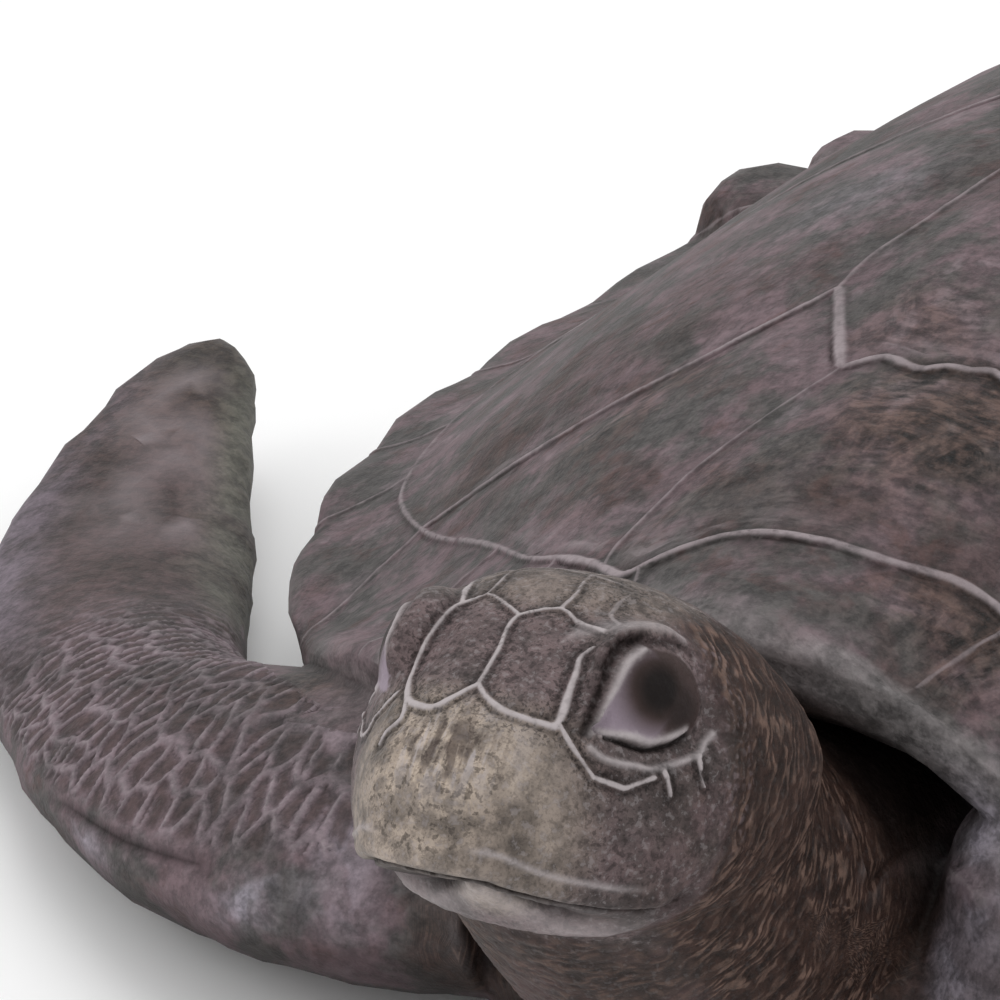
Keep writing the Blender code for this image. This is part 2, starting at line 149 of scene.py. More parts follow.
lip_depth = curve((0, 0.25, 0.4, 1), (0.037, 0.032, 0.024, 0.022))
# How far the rear marginal scutes turn up, at the side and at the back
SIDE_FLARE = 0.024
REAR_FLARE = 0.016


def half_width(y):
    return rim_width(around(y))


def dome(x, y):
    """Height of the shell's top at a point in plan."""
    w = np.maximum(half_width(y), 1e-6)
    low = edge_height(around(y))
    return low + (ridge_height(np.clip(y, 0, 1)) - low) * dome_share(np.clip(np.abs(x) / w, 0, 1))


# Seams between the scutes on the right half, in plan, mirrored to the left
PLATES = (
    ((0, 0.062), (-0.025, 0.062), (-0.049, 0.061), (-0.072, 0.051), (-0.086, 0.044), (-0.103, 0.055),
     (-0.129, 0.071), (-0.161, 0.091), (-0.213, 0.140), (-0.261, 0.178), (-0.305, 0.221), (-0.335, 0.259),
     (-0.352, 0.30), (-0.364, 0.35), (-0.371, 0.40), (-0.374, 0.47), (-0.369, 0.55), (-0.353, 0.64),
     (-0.320, 0.72), (-0.268, 0.80), (-0.203, 0.87), (-0.13, 0.925), (-0.06, 0.955), (0, 0.960)),
    ((-0.100, 0.053), (-0.102, 0.071), (-0.095, 0.111), (-0.083, 0.138), (-0.068, 0.165), (-0.058, 0.182)),
    ((-0.058, 0.182), (-0.040, 0.188), (-0.022, 0.181), (-0.010, 0.185), (0, 0.185)),
    ((-0.058, 0.182), (-0.081, 0.225), (-0.098, 0.257)),
    ((-0.098, 0.257), (-0.115, 0.243), (-0.158, 0.219), (-0.214, 0.207), (-0.254, 0.205), (-0.285, 0.200)),
    ((-0.098, 0.257), (-0.096, 0.281), (-0.086, 0.304), (-0.077, 0.328), (-0.055, 0.390)),
    ((-0.055, 0.390), (-0.025, 0.384), (0, 0.390)),
    ((-0.055, 0.390), (-0.110, 0.483), (-0.055, 0.598)),
    ((-0.110, 0.483), (-0.20, 0.468), (-0.29, 0.463), (-0.374, 0.466)),
    ((-0.055, 0.598), (-0.025, 0.592), (0, 0.597)),
    ((-0.055, 0.598), (-0.100, 0.688), (-0.046, 0.775)),
    ((-0.100, 0.688), (-0.18, 0.690), (-0.26, 0.702), (-0.326, 0.708)),
    ((-0.046, 0.775), (0, 0.770)),
    ((-0.046, 0.775), (-0.090, 0.865), (-0.125, 0.927)),
)
# Seams between the scutes of the rim, from the plates outward
RIM_SEAMS = (
    ((-0.079, 0.046), (-0.062, 0.0)),
    ((-0.135, 0.074), (-0.142, 0.0)),
    ((-0.193, 0.119), (-0.206, 0.109), (-0.235, 0.05)),
    ((-0.285, 0.200), (-0.298, 0.181), (-0.307, 0.146), (-0.318, 0.11)),
    ((-0.345, 0.282), (-0.395, 0.250)),
    ((-0.364, 0.350), (-0.42, 0.342)),
    ((-0.374, 0.458), (-0.43, 0.460)),
    ((-0.366, 0.563), (-0.43, 0.569)),
    ((-0.347, 0.655), (-0.42, 0.663)),
    ((-0.311, 0.735), (-0.39, 0.743)),
    ((-0.264, 0.805), (-0.34, 0.808)),
    ((-0.210, 0.863), (-0.27, 0.870)),
    ((-0.146, 0.914), (-0.180, 0.945)),
    ((-0.060, 0.955), (-0.066, 1.0)),
)
# Where the rim's scutes meet, by y
NOTCHES = (0.005, 0.023, 0.064, 0.145, 0.250, 0.345, 0.460, 0.570, 0.662, 0.742, 0.808, 0.870, 0.935, 0.980,
           1.0)


def rim_lobes(t):
    """Outward swell of each marginal scute: 0 at its seams, 1 at its fullest, a little before its middle."""
    marks = np.array([around(y) for y in NOTCHES])
    i = np.clip(np.searchsorted(marks, t) - 1, 0, len(marks) - 2)
    v = np.clip((t - marks[i]) / (marks[i + 1] - marks[i]), 0, 1)
    v = v ** (1 - 0.15 * step(t, 0.4, 0.8))
    return np.where(t < marks[0], 0.5, (4 * v * (1 - v)) ** 0.6)


def nearest(points, paths, across=None):
    """Each point's distance to the nearest path, that path's number, and the way to the point from the path.

    Where across has the surface's normals, the distance is mostly measured within the surface.
    """
    best = np.full(len(points), FAR)
    who = np.zeros(len(points), int)
    way = np.zeros_like(points)
    for number, path in enumerate(paths):
        for a, b in zip(path[:-1], path[1:]):
            a = np.array(a, float)
            run = np.array(b, float) - a
            t = np.clip(((points - a) @ run) / (run @ run), 0, 1)
            gap = points - a - t[:, None] * run
            if across is not None:
                gap = gap - 0.85 * dots(gap, across)[:, None] * across
            away = np.linalg.norm(gap, axis=1)
            closer = away < best
            best[closer] = away[closer]
            who[closer] = number
            way[closer] = gap[closer]
    return best, who, way


def rounded(path, cuts=3):
    """The path with its bends eased into short steps; the points themselves stay on it."""
    rows = np.array(path, float)
    if len(rows) < 3:
        return rows
    ends = np.concatenate([[2 * rows[0] - rows[1]], rows, [2 * rows[-1] - rows[-2]]])
    made = []
    for a, b, c, d in zip(ends[:-3], ends[1:-2], ends[2:-1], ends[3:]):
        for t in np.arange(cuts) / cuts:
            made.append(0.5 * (2 * b + (c - a) * t + (2 * a - 5 * b + 4 * c - d) * t ** 2
                               + (3 * b - a - 3 * c + d) * t ** 3))
    return np.array(made + [rows[-1]])


def scattered(i, j, k, salt):
    """A repeatable number from 0 to 1 for each whole-number cell."""
    h = (i * 73856093) ^ (j * 19349663) ^ (k * 83492791) ^ (salt * 2654435761)
    h = ((h & 0xFFFFFFFF) ^ ((h & 0xFFFFFFFF) >> 15)) * 2246822519 & 0xFFFFFFFF
    h = (h ^ (h >> 13)) * 3266489917 & 0xFFFFFFFF
    return (h ^ (h >> 16)) / 4294967295.0


def noise(p, size, salt, octaves):
    """Smooth noise from -1 to 1 at points p, with blobs of about the given size."""
    total = np.zeros(len(p))
    for octave in range(octaves):
        q = p / (size * 0.5 ** octave) + 100.5 * (octave + 1)
        cell = np.floor(q).astype(np.int64)
        f = q - cell
        f = f * f * f * (f * (f * 6 - 15) + 10)
        value = np.zeros(len(p))
        for corner in range(8):
            o = (corner & 1, corner >> 1 & 1, corner >> 2 & 1)
            share = np.ones(len(p))
            for axis in range(3):
                share = share * (f[:, axis] if o[axis] else 1 - f[:, axis])
            value += share * scattered(cell[:, 0] + o[0], cell[:, 1] + o[1], cell[:, 2] + o[2], salt + octave)
        total += (2 * value - 1) * 0.55 ** octave
    return total


def mesh_of(name, points, faces):
    mesh = bpy.data.meshes.new(name)
    mesh.from_pydata(points.tolist(), [], faces)
    mesh.update()
    return placed(name, mesh)


def placed(name, data):
    obj = bpy.data.objects.new(name, data)
    bpy.context.scene.collection.objects.link(obj)
    return obj


def skin(name, rings):
    """A closed body through rings of equal length, with a fan at each end."""
    count = len(rings[0])
    points = np.concatenate([*rings, [np.mean(rings[0], axis=0)], [np.mean(rings[-1], axis=0)]])
    first, last = len(points) - 2, len(points) - 1
    base = (len(rings) - 1) * count
    sides = [(j, (j + 1) % count) for j in range(count)]
    faces = [(i + j, i + k, i + count + k, i + count + j) for i in range(0, base, count) for j, k in sides]
    for j, k in sides:
        faces += [(first, k, j), (last, base + j, base + k)]
    obj = mesh_of(name, points, faces)
    shape = bmesh.new()
    shape.from_mesh(obj.data)
    bmesh.ops.recalc_face_normals(shape, faces=shape.faces)
    shape.to_mesh(obj.data)
    shape.free()
    return obj


def rim_points(count=420):
    """The edge of the shell in plan, right side from the front to the back, then the left side forward."""
    t = (np.arange(count) + 0.5) / count
    y = 0.5 * (1 - np.cos(math.pi * t))
    swell = 0.0025 + 0.0065 * step(t, around(0.62), 0.75)
    w = rim_width(t) + swell * (rim_lobes(t) - 0.5)
    right = np.stack([-w, y], 1)
    left = right[::-1] * (-1, 1)
    return np.concatenate([right, left]), np.concatenate([t, t[::-1]])


def shell():
    """The dome, the edge and the underside of the rim, as rings spread from the middle of the plan."""
    edge, t = rim_points()
    spread = edge - PLAN_CENTRE
    rise = SIDE_FLARE + (REAR_FLARE - SIDE_FLARE) * step(t, around(0.80), 0.9)
    flare = rise * step(t, around(0.660), around(0.675)) * rim_lobes(t) ** 0.5
    low = edge_height(t) + flare
    lip = lip_depth(t)
    rings = []
    for share in [*np.linspace(0.02, 0.78, 34), *np.linspace(0.80, 0.97, 14), 0.98, 0.988, 0.994]:
        plan = PLAN_CENTRE + share * spread
        rings.append(np.column_stack([plan, dome(*plan.T) + flare * step(share, 0.8, 1)]))
    profile = curve((0.0, 0.06, 0.22, 0.42, 0.66, 0.86, 0.98, 1.0),
                    (0.994, 0.999, 1.004, 1.003, 0.996, 0.988, 0.975, 0.95))
    side = [(profile(down), down) for down in np.linspace(0.05, 1.0, 22)]
    for share, down in side + [(0.90, 0.96), (0.80, 0.90), (0.6, 0.8), (0.3, 0.6)]:
        rings.append(np.column_stack([PLAN_CENTRE + share * spread, low - lip * down]))
    return skin("shell", rings)


def body():
    """The trunk under the shell, with its plastron carried a little below the ground to be cut flat."""
    wide = curve((0.10, 0.13, 0.2, 0.3, 0.45, 0.6, 0.72, 0.82, 0.9, 0.95),
                 (0, 0.17, 0.25, 0.30, 0.325, 0.31, 0.27, 0.20, 0.11, 0))
    t = (np.arange(160) + 0.5) / 160
    y = 0.10 + 0.85 * 0.5 * (1 - np.cos(math.pi * t))
    right = np.stack([-wide(y), y], 1)
    edge = np.concatenate([right, right[::-1] * (-1, 1)])
    centre = np.array([0, 0.5])
    rings = []
    for share, z in ((0.05, -0.03), (0.5, -0.03), (0.93, -0.03), (0.97, 0.0), (1.0, 0.02), (1.03, 0.045),
                     (1.06, 0.08), (0.9, 0.11), (0.5, 0.13), (0.05, 0.14)):
        rings.append(np.column_stack([centre + share * (edge - centre), np.full(len(edge), z)]))
    return skin("body", rings)


def ball(name, at, radii, turn=None):
    """A stretched sphere; the rows of turn are the directions of its three radii."""
    axes = np.eye(3) if turn is None else turn
    shape = bmesh.new()
    bmesh.ops.create_uvsphere(shape, u_segments=96, v_segments=56, radius=1)
    for v in shape.verts:
        v.co = (np.array(v.co) * radii) @ axes + at
    if np.linalg.det(axes) < 0:
        bmesh.ops.reverse_faces(shape, faces=shape.faces)
    mesh = bpy.data.meshes.new(name)
    shape.to_mesh(mesh)
    shape.free()
    return placed(name, mesh)


def reaches(rows):
    """How far down a path each of its rows lies."""
    return np.concatenate([[0], np.cumsum(np.linalg.norm(np.diff(rows[:, :3], axis=0), axis=1))])


def spine_of(path, count):
    """Rows evenly spaced down the smoothed path, with the directions ahead, across and up at each."""
    rows = np.array(path, float)
    reach = reaches(rows)
    at = np.linspace(0, reach[-1], count)
    rows = np.stack([curve(reach, column)(at) for column in rows.T], 1)
    ahead = np.gradient(rows[:, :3], axis=0)
    ahead /= np.linalg.norm(ahead, axis=1)[:, None]
    across = np.cross(ahead, (0, 0, 1))
    across /= np.linalg.norm(across, axis=1)[:, None]
    return rows, ahead, across, np.cross(across, ahead)


def tube(name, path, count=140, segments=120, lead=0.0):
    """A body with oval sections, level across, down a path of rows (x, y, z, half width, half height)."""
    angle = np.linspace(0, 2 * math.pi, segments, endpoint=False)
    rings = []
    for row, _, across, up in zip(*spine_of(path, count)):
        thick = row[4] * np.sin(angle) * (1 + lead * np.cos(angle))
        rings.append(row[:3] + np.outer(row[3] * np.cos(angle), across) + np.outer(thick, up))
    return skin(name, rings)


# Paths of the neck, limbs and tail: x, y, z, half width and half height at each point
NECK = (
    (0.0, 0.20, 0.088, 0.078, 0.078),
    (0.0, 0.12, 0.090, 0.078, 0.082),
    (-0.002, 0.05, 0.098, 0.076, 0.083),
    (-0.004, -0.005, 0.117, 0.073, 0.080),
    (-0.007, -0.055, 0.150, 0.071, 0.074),
    (-0.010, -0.095, 0.188, 0.069, 0.064),
    (-0.010, -0.125, 0.216, 0.062, 0.054),
)
FORE_FLIPPER = (
    (-0.13, 0.055, 0.074, 0.090, 0.068),
    (-0.20, 0.045, 0.063, 0.097, 0.061),
    (-0.267, 0.049, 0.053, 0.084, 0.056),
    (-0.335, 0.068, 0.045, 0.067, 0.050),
    (-0.395, 0.111, 0.040, 0.062, 0.042),
    (-0.454, 0.171, 0.037, 0.071, 0.034),
    (-0.500, 0.245, 0.038, 0.069, 0.026),
    (-0.535, 0.310, 0.046, 0.060, 0.021),
    (-0.560, 0.370, 0.055, 0.049, 0.018),
    (-0.575, 0.415, 0.064, 0.038, 0.015),
    (-0.582, 0.443, 0.069, 0.021, 0.012),
    (-0.583, 0.454, 0.071, 0.009, 0.007),
)
HIND_FLIPPER = (
    (-0.13, 0.78, 0.050, 0.055, 0.045),
    (-0.19, 0.85, 0.042, 0.055, 0.038),
    (-0.240, 0.915, 0.034, 0.060, 0.028),
    (-0.275, 0.975, 0.028, 0.064, 0.021),
    (-0.298, 1.035, 0.025, 0.058, 0.016),
    (-0.308, 1.075, 0.024, 0.040, 0.012),
    (-0.311, 1.095, 0.024, 0.016, 0.008),
)
TAIL = (
    (0, 0.88, 0.045, 0.046, 0.038),
    (0, 0.97, 0.034, 0.036, 0.029),
    (0, 1.03, 0.024, 0.023, 0.019),
    (0, 1.068, 0.018, 0.009, 0.009),
)


def mirrored(path):
    """The same path on the animal's left side."""
    return [(-row[0], *row[1:]) for row in path]


def head_axes():
    yaw, pitch, roll = (math.radians(a) for a in (HEAD_YAW, HEAD_PITCH, HEAD_ROLL))
    ahead = np.array([-math.sin(yaw) * math.cos(pitch), -math.cos(yaw) * math.cos(pitch), math.sin(pitch)])
    left = np.cross((0, 0, 1), ahead)
    left /= np.linalg.norm(left)
    up = np.cross(ahead, left)
    c, s = math.cos(roll), math.sin(roll)
    return np.array([ahead, left * c + up * s, up * c - left * s])


HEAD_TURN = head_axes()
SKULL_X = (-0.74, -0.6, -0.45, -0.2, 0.0, 0.2, 0.33, 0.44, 0.52, 0.58, 0.615, 0.632)
skull_wide = curve(SKULL_X, (0.34, 0.41, 0.465, 0.50, 0.495, 0.435, 0.355, 0.280, 0.222, 0.168, 0.11, 0.04))
skull_top = curve(SKULL_X, (0.12, 0.21, 0.30, 0.405, 0.435, 0.36, 0.278, 0.195, 0.125, 0.055, -0.01, -0.07))
skull_low = curve(SKULL_X,
                  (-0.36, -0.40, -0.42, -0.42, -0.415, -0.40, -0.385, -0.365, -0.34, -0.305, -0.25, -0.18))
skull_mid = curve(SKULL_X, (0.0, -0.02, -0.04, -0.06, -0.07, -0.09, -0.10, -0.11, -0.12, -0.12, -0.12, -0.12))


def in_head(points):
    """Points in the head's own axes, as shares of its width: ahead, left and up."""
    return (points - HEAD_AT) @ HEAD_TURN.T / HEAD


def on_head(q):
    """Which points, in the head's axes, the carving of the head reaches."""
    return (q[:, 0] > -0.62) & (np.abs(q[:, 1]) < 0.7) & (np.abs(q[:, 2]) < 0.7)


def skull():
    """The head without its brows, as rounded sections from the nape to the beak."""
    angle = np.linspace(0, 2 * math.pi, 200, endpoint=False)
    c, s = np.cos(angle), np.sin(angle)
    rings = []
    for x in np.concatenate([np.linspace(-0.74, 0.5, 90), np.linspace(0.51, 0.632, 30)]):
        mid = skull_mid(x)
        reach = np.where(s > 0, skull_top(x) - mid, mid - skull_low(x))
        y = skull_wide(x) * np.sign(c) * np.abs(c) ** 0.86
        z = mid + reach * np.sign(s) * np.abs(s) ** 0.9
        rings.append(HEAD_AT + HEAD * (np.column_stack([np.full(len(angle), x), y, z]) @ HEAD_TURN))
    return skin("skull", rings)


def head_ball(name, at, radii):
    """A ball placed in the head's own axes, sized as shares of its width."""
    return ball(name, HEAD_AT + HEAD * (np.array(at) @ HEAD_TURN), HEAD * np.array(radii), HEAD_TURN)


def forms():
    """The closed forms that are fused into one skin."""
    made = [shell(), body(), skull()]
    made.append(ball("chest", (0, 0.075, 0.055), (0.165, 0.125, 0.080)))
    made.append(ball("nape", (0, 0.25, 0.13), (0.20, 0.17, 0.10)))
    made.append(tube("neck", NECK))
    made.append(tube("tail", TAIL))
    for side, turned in ((-1, list), (1, mirrored)):
        made.append(ball("shoulder", (0.160 * side, 0.098, 0.086), (0.085, 0.078, 0.058)))
        made.append(ball("limb_root", (0.114 * side, 0.038, 0.130), (0.043, 0.044, 0.052)))
        made.append(ball("limb_front", (0.124 * side, 0.034, 0.092), (0.062, 0.052, 0.062)))
        made.append(tube("fore_flipper", turned(FORE_FLIPPER), lead=-0.28 * side))
        made.append(tube("hind_flipper", turned(HIND_FLIPPER), lead=-0.2 * side))
        made.append(head_ball("brow", (0.17, -side * 0.265, 0.205), (0.19, 0.130, 0.155)))
    return made


def evaluated(obj):
    graph = bpy.context.evaluated_depsgraph_get()
    mesh = bpy.data.meshes.new_from_object(obj.evaluated_get(graph))
    obj.modifiers.clear()
    old = obj.data
    obj.data = mesh
    bpy.data.meshes.remove(old)


def joined(objects, name):
    """One mesh of all the objects, set to metres."""
    points = []
    faces = []
    base = 0
    for obj in objects:
        points.append(read(obj.data.vertices, "co") * L)
        faces.extend(tuple(base + i for i in p.vertices) for p in obj.data.polygons)
        base += len(obj.data.vertices)
        bpy.data.objects.remove(obj)
    return mesh_of(name, np.concatenate(points), faces)


def read(items, what, width=3):
    values = np.empty(len(items) * width)
    items.foreach_get(what, values)
    return values.reshape(-1, width)


def put(mesh, points):
    mesh.vertices.foreach_set("co", points.ravel())
    mesh.update()


def refined(obj, chosen):
    """Halves the grid between the chosen points."""
    shape = bmesh.new()
    shape.from_mesh(obj.data)
    shape.verts.ensure_lookup_table()
    edges = [e for e in shape.edges if chosen[e.verts[0].index] and chosen[e.verts[1].index]]
    bmesh.ops.subdivide_edges(shape, edges=edges, cuts=1, use_grid_fill=True, smooth=0.0)
    bmesh.ops.triangulate(shape, faces=[f for f in shape.faces if len(f.verts) > 4])
    shape.to_mesh(obj.data)
    shape.free()


# Each line of PLATES: half its width in mm, and how strongly it stands out
SEAM_KINDS = ((1.7, 1.0), (0.9, 0.55), (1.9, 0.95), (2.4, 0.90), (1.4, 0.80)) + ((1.2, 0.6),) * 9
RIM_SEAM_KIND = (1.0, 0.5)

# Stains in plan: x, y, radius and strength; then paler places in space: x, y, z, radius, strength. The third
# and fourth, on the left shoulder under the rim, are painted light; the rest are rubbed places
STAINS = ((0.002, 0.132, 0.062, 1.0), (0.025, 0.160, 0.055, 1.0), (-0.029, 0.215, 0.040, 0.8),
          (-0.051, 0.094, 0.022, 0.6), (-0.077, 0.113, 0.022, 0.6), (-0.139, 0.109, 0.022, 0.5),
          (-0.171, 0.177, 0.025, 0.7), (-0.157, 0.201, 0.030, 0.7), (-0.276, 0.234, 0.035, 0.4),
          (0.066, 0.048, 0.036, 0.9), (0.045, 0.130, 0.030, 0.6), (-0.265, 0.063, 0.022, 0.9))
PALE_PLACES_AND_PAINTED_LIGHT = ((-0.219, -0.048, 0.071, 0.015, 1.0), (-0.330, -0.016, 0.052, 0.016, 0.9),
         (0.098, 0.020, 0.112, 0.062, 1.0), (0.095, 0.030, 0.150, 0.045, 1.0),
         (-0.141, 0.364, 0.275, 0.050, 0.3), (-0.175, -0.030, 0.090, 0.035, 0.4))
# Edge of the shell's top above the neck, where the lip begins, by distance from the middle
lip_line = curve((0, 0.025, 0.042, 0.10, 0.16), (0.003, 0.007, 0.012, 0.012, 0.010))

# Seams between the plates of the head, in the head's own axes: the snout's pair, the crown and the cheek
SNOUT_SEAMS = (
    ((0.24, -0.02, 0.33), (0.29, -0.02, 0.30), (0.36, 0.00, 0.26), (0.45, 0.01, 0.19)),
    ((0.45, 0.01, 0.19), (0.50, -0.04, 0.14), (0.51, -0.08, 0.12), (0.47, -0.16, 0.13), (0.385, -0.20, 0.18),
     (0.33, -0.205, 0.245), (0.27, -0.20, 0.30), (0.21, -0.19, 0.33), (0.16, -0.15, 0.35),
     (0.20, -0.08, 0.34), (0.24, -0.02, 0.33)),
    ((0.45, 0.01, 0.19), (0.47, 0.05, 0.16), (0.48, 0.11, 0.14), (0.45, 0.19, 0.13), (0.42, 0.21, 0.13),
     (0.35, 0.19, 0.23), (0.30, 0.17, 0.27), (0.25, 0.20, 0.31), (0.22, 0.13, 0.32), (0.19, 0.06, 0.35),
     (0.24, -0.02, 0.33)),
    ((0.47, -0.16, 0.13), (0.52, -0.14, 0.09), (0.52, -0.17, 0.05), (0.53, -0.18, 0.02)),
)
CROWN_SEAMS = (
    ((0.16, -0.15, 0.35), (0.11, -0.15, 0.37), (0.02, -0.16, 0.39), (-0.20, -0.17, 0.36)),
    ((0.19, 0.06, 0.35), (0.12, 0.06, 0.38), (0.02, 0.04, 0.41), (-0.20, 0.06, 0.37)),
    ((0.02, -0.16, 0.39), (0.00, -0.06, 0.41), (0.02, 0.04, 0.41)),
    ((0.25, 0.20, 0.31), (0.15, 0.17, 0.37), (0.02, 0.16, 0.39), (-0.12, 0.19, 0.37)),
    ((0.21, -0.19, 0.33), (0.10, -0.24, 0.36), (-0.05, -0.26, 0.35)),
    ((0.02, 0.04, 0.41), (0.02, 0.16, 0.39)),
    ((0.02, -0.16, 0.39), (0.00, -0.25, 0.36)),
    ((-0.12, 0.19, 0.37), (-0.20, 0.30, 0.29), (-0.15, 0.42, 0.12)),
    ((-0.05, -0.26, 0.35), (-0.15, -0.34, 0.27), (-0.12, -0.42, 0.12)),
    ((-0.20, 0.06, 0.37), (-0.30, 0.15, 0.32), (-0.20, 0.30, 0.29)),
    ((-0.20, -0.17, 0.36), (-0.30, -0.06, 0.35), (-0.20, 0.06, 0.37)),
    ((-0.20, -0.17, 0.36), (-0.28, -0.25, 0.30), (-0.15, -0.34, 0.27)),
)
# On the left side, mirrored to the right
CHEEK_SEAMS = (
    ((0.42, 0.21, 0.13), (0.42, 0.24, 0.09), (0.39, 0.30, 0.02), (0.33, 0.35, 0.00), (0.27, 0.40, 0.03)),
    ((0.235, 0.40, 0.04), (0.24, 0.42, 0.02), (0.23, 0.42, -0.01)),
    ((0.14, 0.43, 0.08), (0.155, 0.46, 0.04), (0.14, 0.46, 0.01)),
)
mouth_line = curve((0.02, 0.15, 0.25, 0.35, 0.45, 0.53, 0.575, 0.62),
                   (-0.277, -0.292, -0.297, -0.288, -0.272, -0.256, -0.243, -0.240))
MOUTH_CORNER = 0.12
# The crown seam that shows least, by its place among all
FAINT_SEAM = len(SNOUT_SEAMS) + 3
# How far the tip of the lower jaw is set back, and the share of its width that it gives up
JAW_BACK = 0.24
JAW_NARROWED = 0.60

# The plane of the left eye: its middle, the way it faces, and forward and up in it
EYE_AT = np.array([0.205, 0.335, 0.205])
EYE_FACES = np.array([0.393, 0.887, 0.247])
EYE_AHEAD = np.array([0.920, -0.378, -0.105])
EYE_UP = np.array([0.0, -0.268, 0.963])
# In that plane: the middle of the lids, the middle of the iris, and where the iris is dark below
EYE_MIDDLE = np.array([-0.01, 0.005])
IRIS_AT = (0.018, 0.010)
IRIS_LOW_AT = (-0.035, -0.035)
# Edge of the lids: its distance from the middle by angle, from below round the front
LID_ANGLES = (-115, -99, -77, -63, -49, -37, -31, -24, -18.7, -16, -6, 12, 38, 63, 94, 124, 151, 172, 196,
              212, 230, 245)
LID_RADII = (0.104, 0.103, 0.111, 0.125, 0.132, 0.145, 0.166, 0.194, 0.212, 0.191, 0.161, 0.13, 0.117, 0.115,
             0.092, 0.0915, 0.095, 0.099, 0.107, 0.1115, 0.116, 0.104)
lid_radius = curve(LID_ANGLES, LID_RADII)
# Lines about the eye, forward and up in its plane: half width, height, how rubbed, how dark, then the path.
# The second is a painted highlight on the ball's lower edge; the third, fifth, sixth and seventh paint shade
# into the slit under the ball, the groove before the eye and the fold under the brow
EYE_LINES = (
    (0.0085, 0.010, 0.85, 0,
     ((0.03, 0.110), (0.082, 0.080), (0.119, 0.033), (0.150, -0.010), (0.178, -0.049), (0.200, -0.070))),
    (0.0098, 0.007, 1.0, 0,
     ((0.167, -0.068), (0.133, -0.078), (0.106, -0.083), (0.077, -0.094), (0.047, -0.105), (0.015, -0.103),
      (-0.026, -0.097), (-0.055, -0.089))),
    (0.0070, -0.014, 0, 0.95,
     ((0.160, -0.083), (0.127, -0.094), (0.087, -0.111), (0.05, -0.122), (0.009, -0.119), (-0.023, -0.115),
      (-0.065, -0.098))),
    (0.0075, 0.008, 0.8, 0,
     ((0.203, -0.101), (0.176, -0.127), (0.143, -0.142), (0.09, -0.154), (0.056, -0.166), (0.016, -0.164),
      (-0.024, -0.158), (-0.061, -0.152), (-0.091, -0.143), (-0.11, -0.123), (-0.138, -0.101))),
    (0.0140, -0.013, 0, 0.95,
     ((0.020, 0.134), (0.070, 0.120), (0.102, 0.098), (0.141, 0.050), (0.170, 0.003), (0.191, -0.038),
      (0.210, -0.068))),
    (0.0190, -0.010, 0, 0.9, ((0.050, 0.134), (0.100, 0.112), (0.135, 0.076))),
    (0.0090, -0.007, 0, 0.6, ((0.045, 0.120), (-0.019, 0.119), (-0.075, 0.112), (-0.115, 0.080))),
    (0.0130, 0.006, 0.50, 0,
     ((0.161, 0.153), (0.116, 0.165), (0.053, 0.166), (-0.002, 0.162), (-0.04, 0.153), (-0.086, 0.141),
      (-0.103, 0.121))),
)


def spine_coords(p, path, count=90, at_once=20000):
    """Distance down a limb's spine, and the place across and up in its half widths and half heights."""
    rows, ahead, across, up = spine_of(path, count)
    reach = reaches(rows)
    who = np.concatenate([np.argmin(np.sum((part[:, None] - rows[None, :, :3]) ** 2, axis=2), axis=1)
                          for part in np.array_split(p, len(p) // at_once + 1)])
    gap = p - rows[who, :3]
    down = np.maximum(reach[who] + dots(gap, ahead[who]), 0)
    return down, dots(gap, across[who]) / rows[who, 3], dots(gap, up[who]) / rows[who, 4]


MASKS = ("shell rim head snout neck folded limb tips streak seam_strength rub dark lid pebbles cavity green "
         "stain pale lip blue moss worm sand").split()
FLOWS = ("limb_flow", "neck_flow", "eye_place", "ring_place")


class Work:
    """What the carving adds at each point of the skin, with the masks and flows that the patina reads.

    p and n are the points and normals, q and qn the same in the head's axes, lift is height along the normal,
    shift is any other move, and neck is the distance from the neck's spine as a share of its thickness.
    A mask is read and set by its name, as in work["shell"].
    """

    def __init__(self, p, n):
        self.p = p
        self.n = n
        self.q = in_head(p)
        self.qn = n @ HEAD_TURN.T
        self.lift = np.zeros(len(p))
        self.shift = np.zeros_like(p)
        self.neck = np.full(len(p), FAR)
        self.masks = {name: np.zeros(len(p)) for name in MASKS}
        self.masks["seam"] = np.full(len(p), FAR)
        self.flows = {name: np.zeros_like(p) for name in FLOWS}
        self.flows["head_flow"] = self.q

    def __getitem__(self, name):
        return self.masks[name]

    def __setitem__(self, name, values):
        self.masks[name] = values

    def add(self, chosen, lift=0.0, **marks):
        """Adds height, and raises each mask named in marks at least as far as its values."""
        self.lift[chosen] += lift
        for name, values in marks.items():
            self.masks[name][chosen] = np.maximum(self.masks[name][chosen], values)


def place_neck(w):
    """How far each point is from the neck's spine, and the neck's own directions laid on its skin."""
    x, y, z = w.p.T
    near = np.nonzero((np.abs(x) < 0.13) & (y < 0.10) & (y > -0.24) & (z > 0.01))[0]
    down, side, rise = spine_coords(w.p[near], NECK)
    w.neck[near] = np.hypot(side, rise)
    angle = np.arctan2(rise, side)
    flow = np.column_stack([down / (2.6 * MM), angle * 0.075 / (9 * MM), down * 0])
    flow[:, 0] += 1.2 * noise(w.p[near], 12 * MM, 4, 2)
    w.flows["neck_flow"][near] = flow


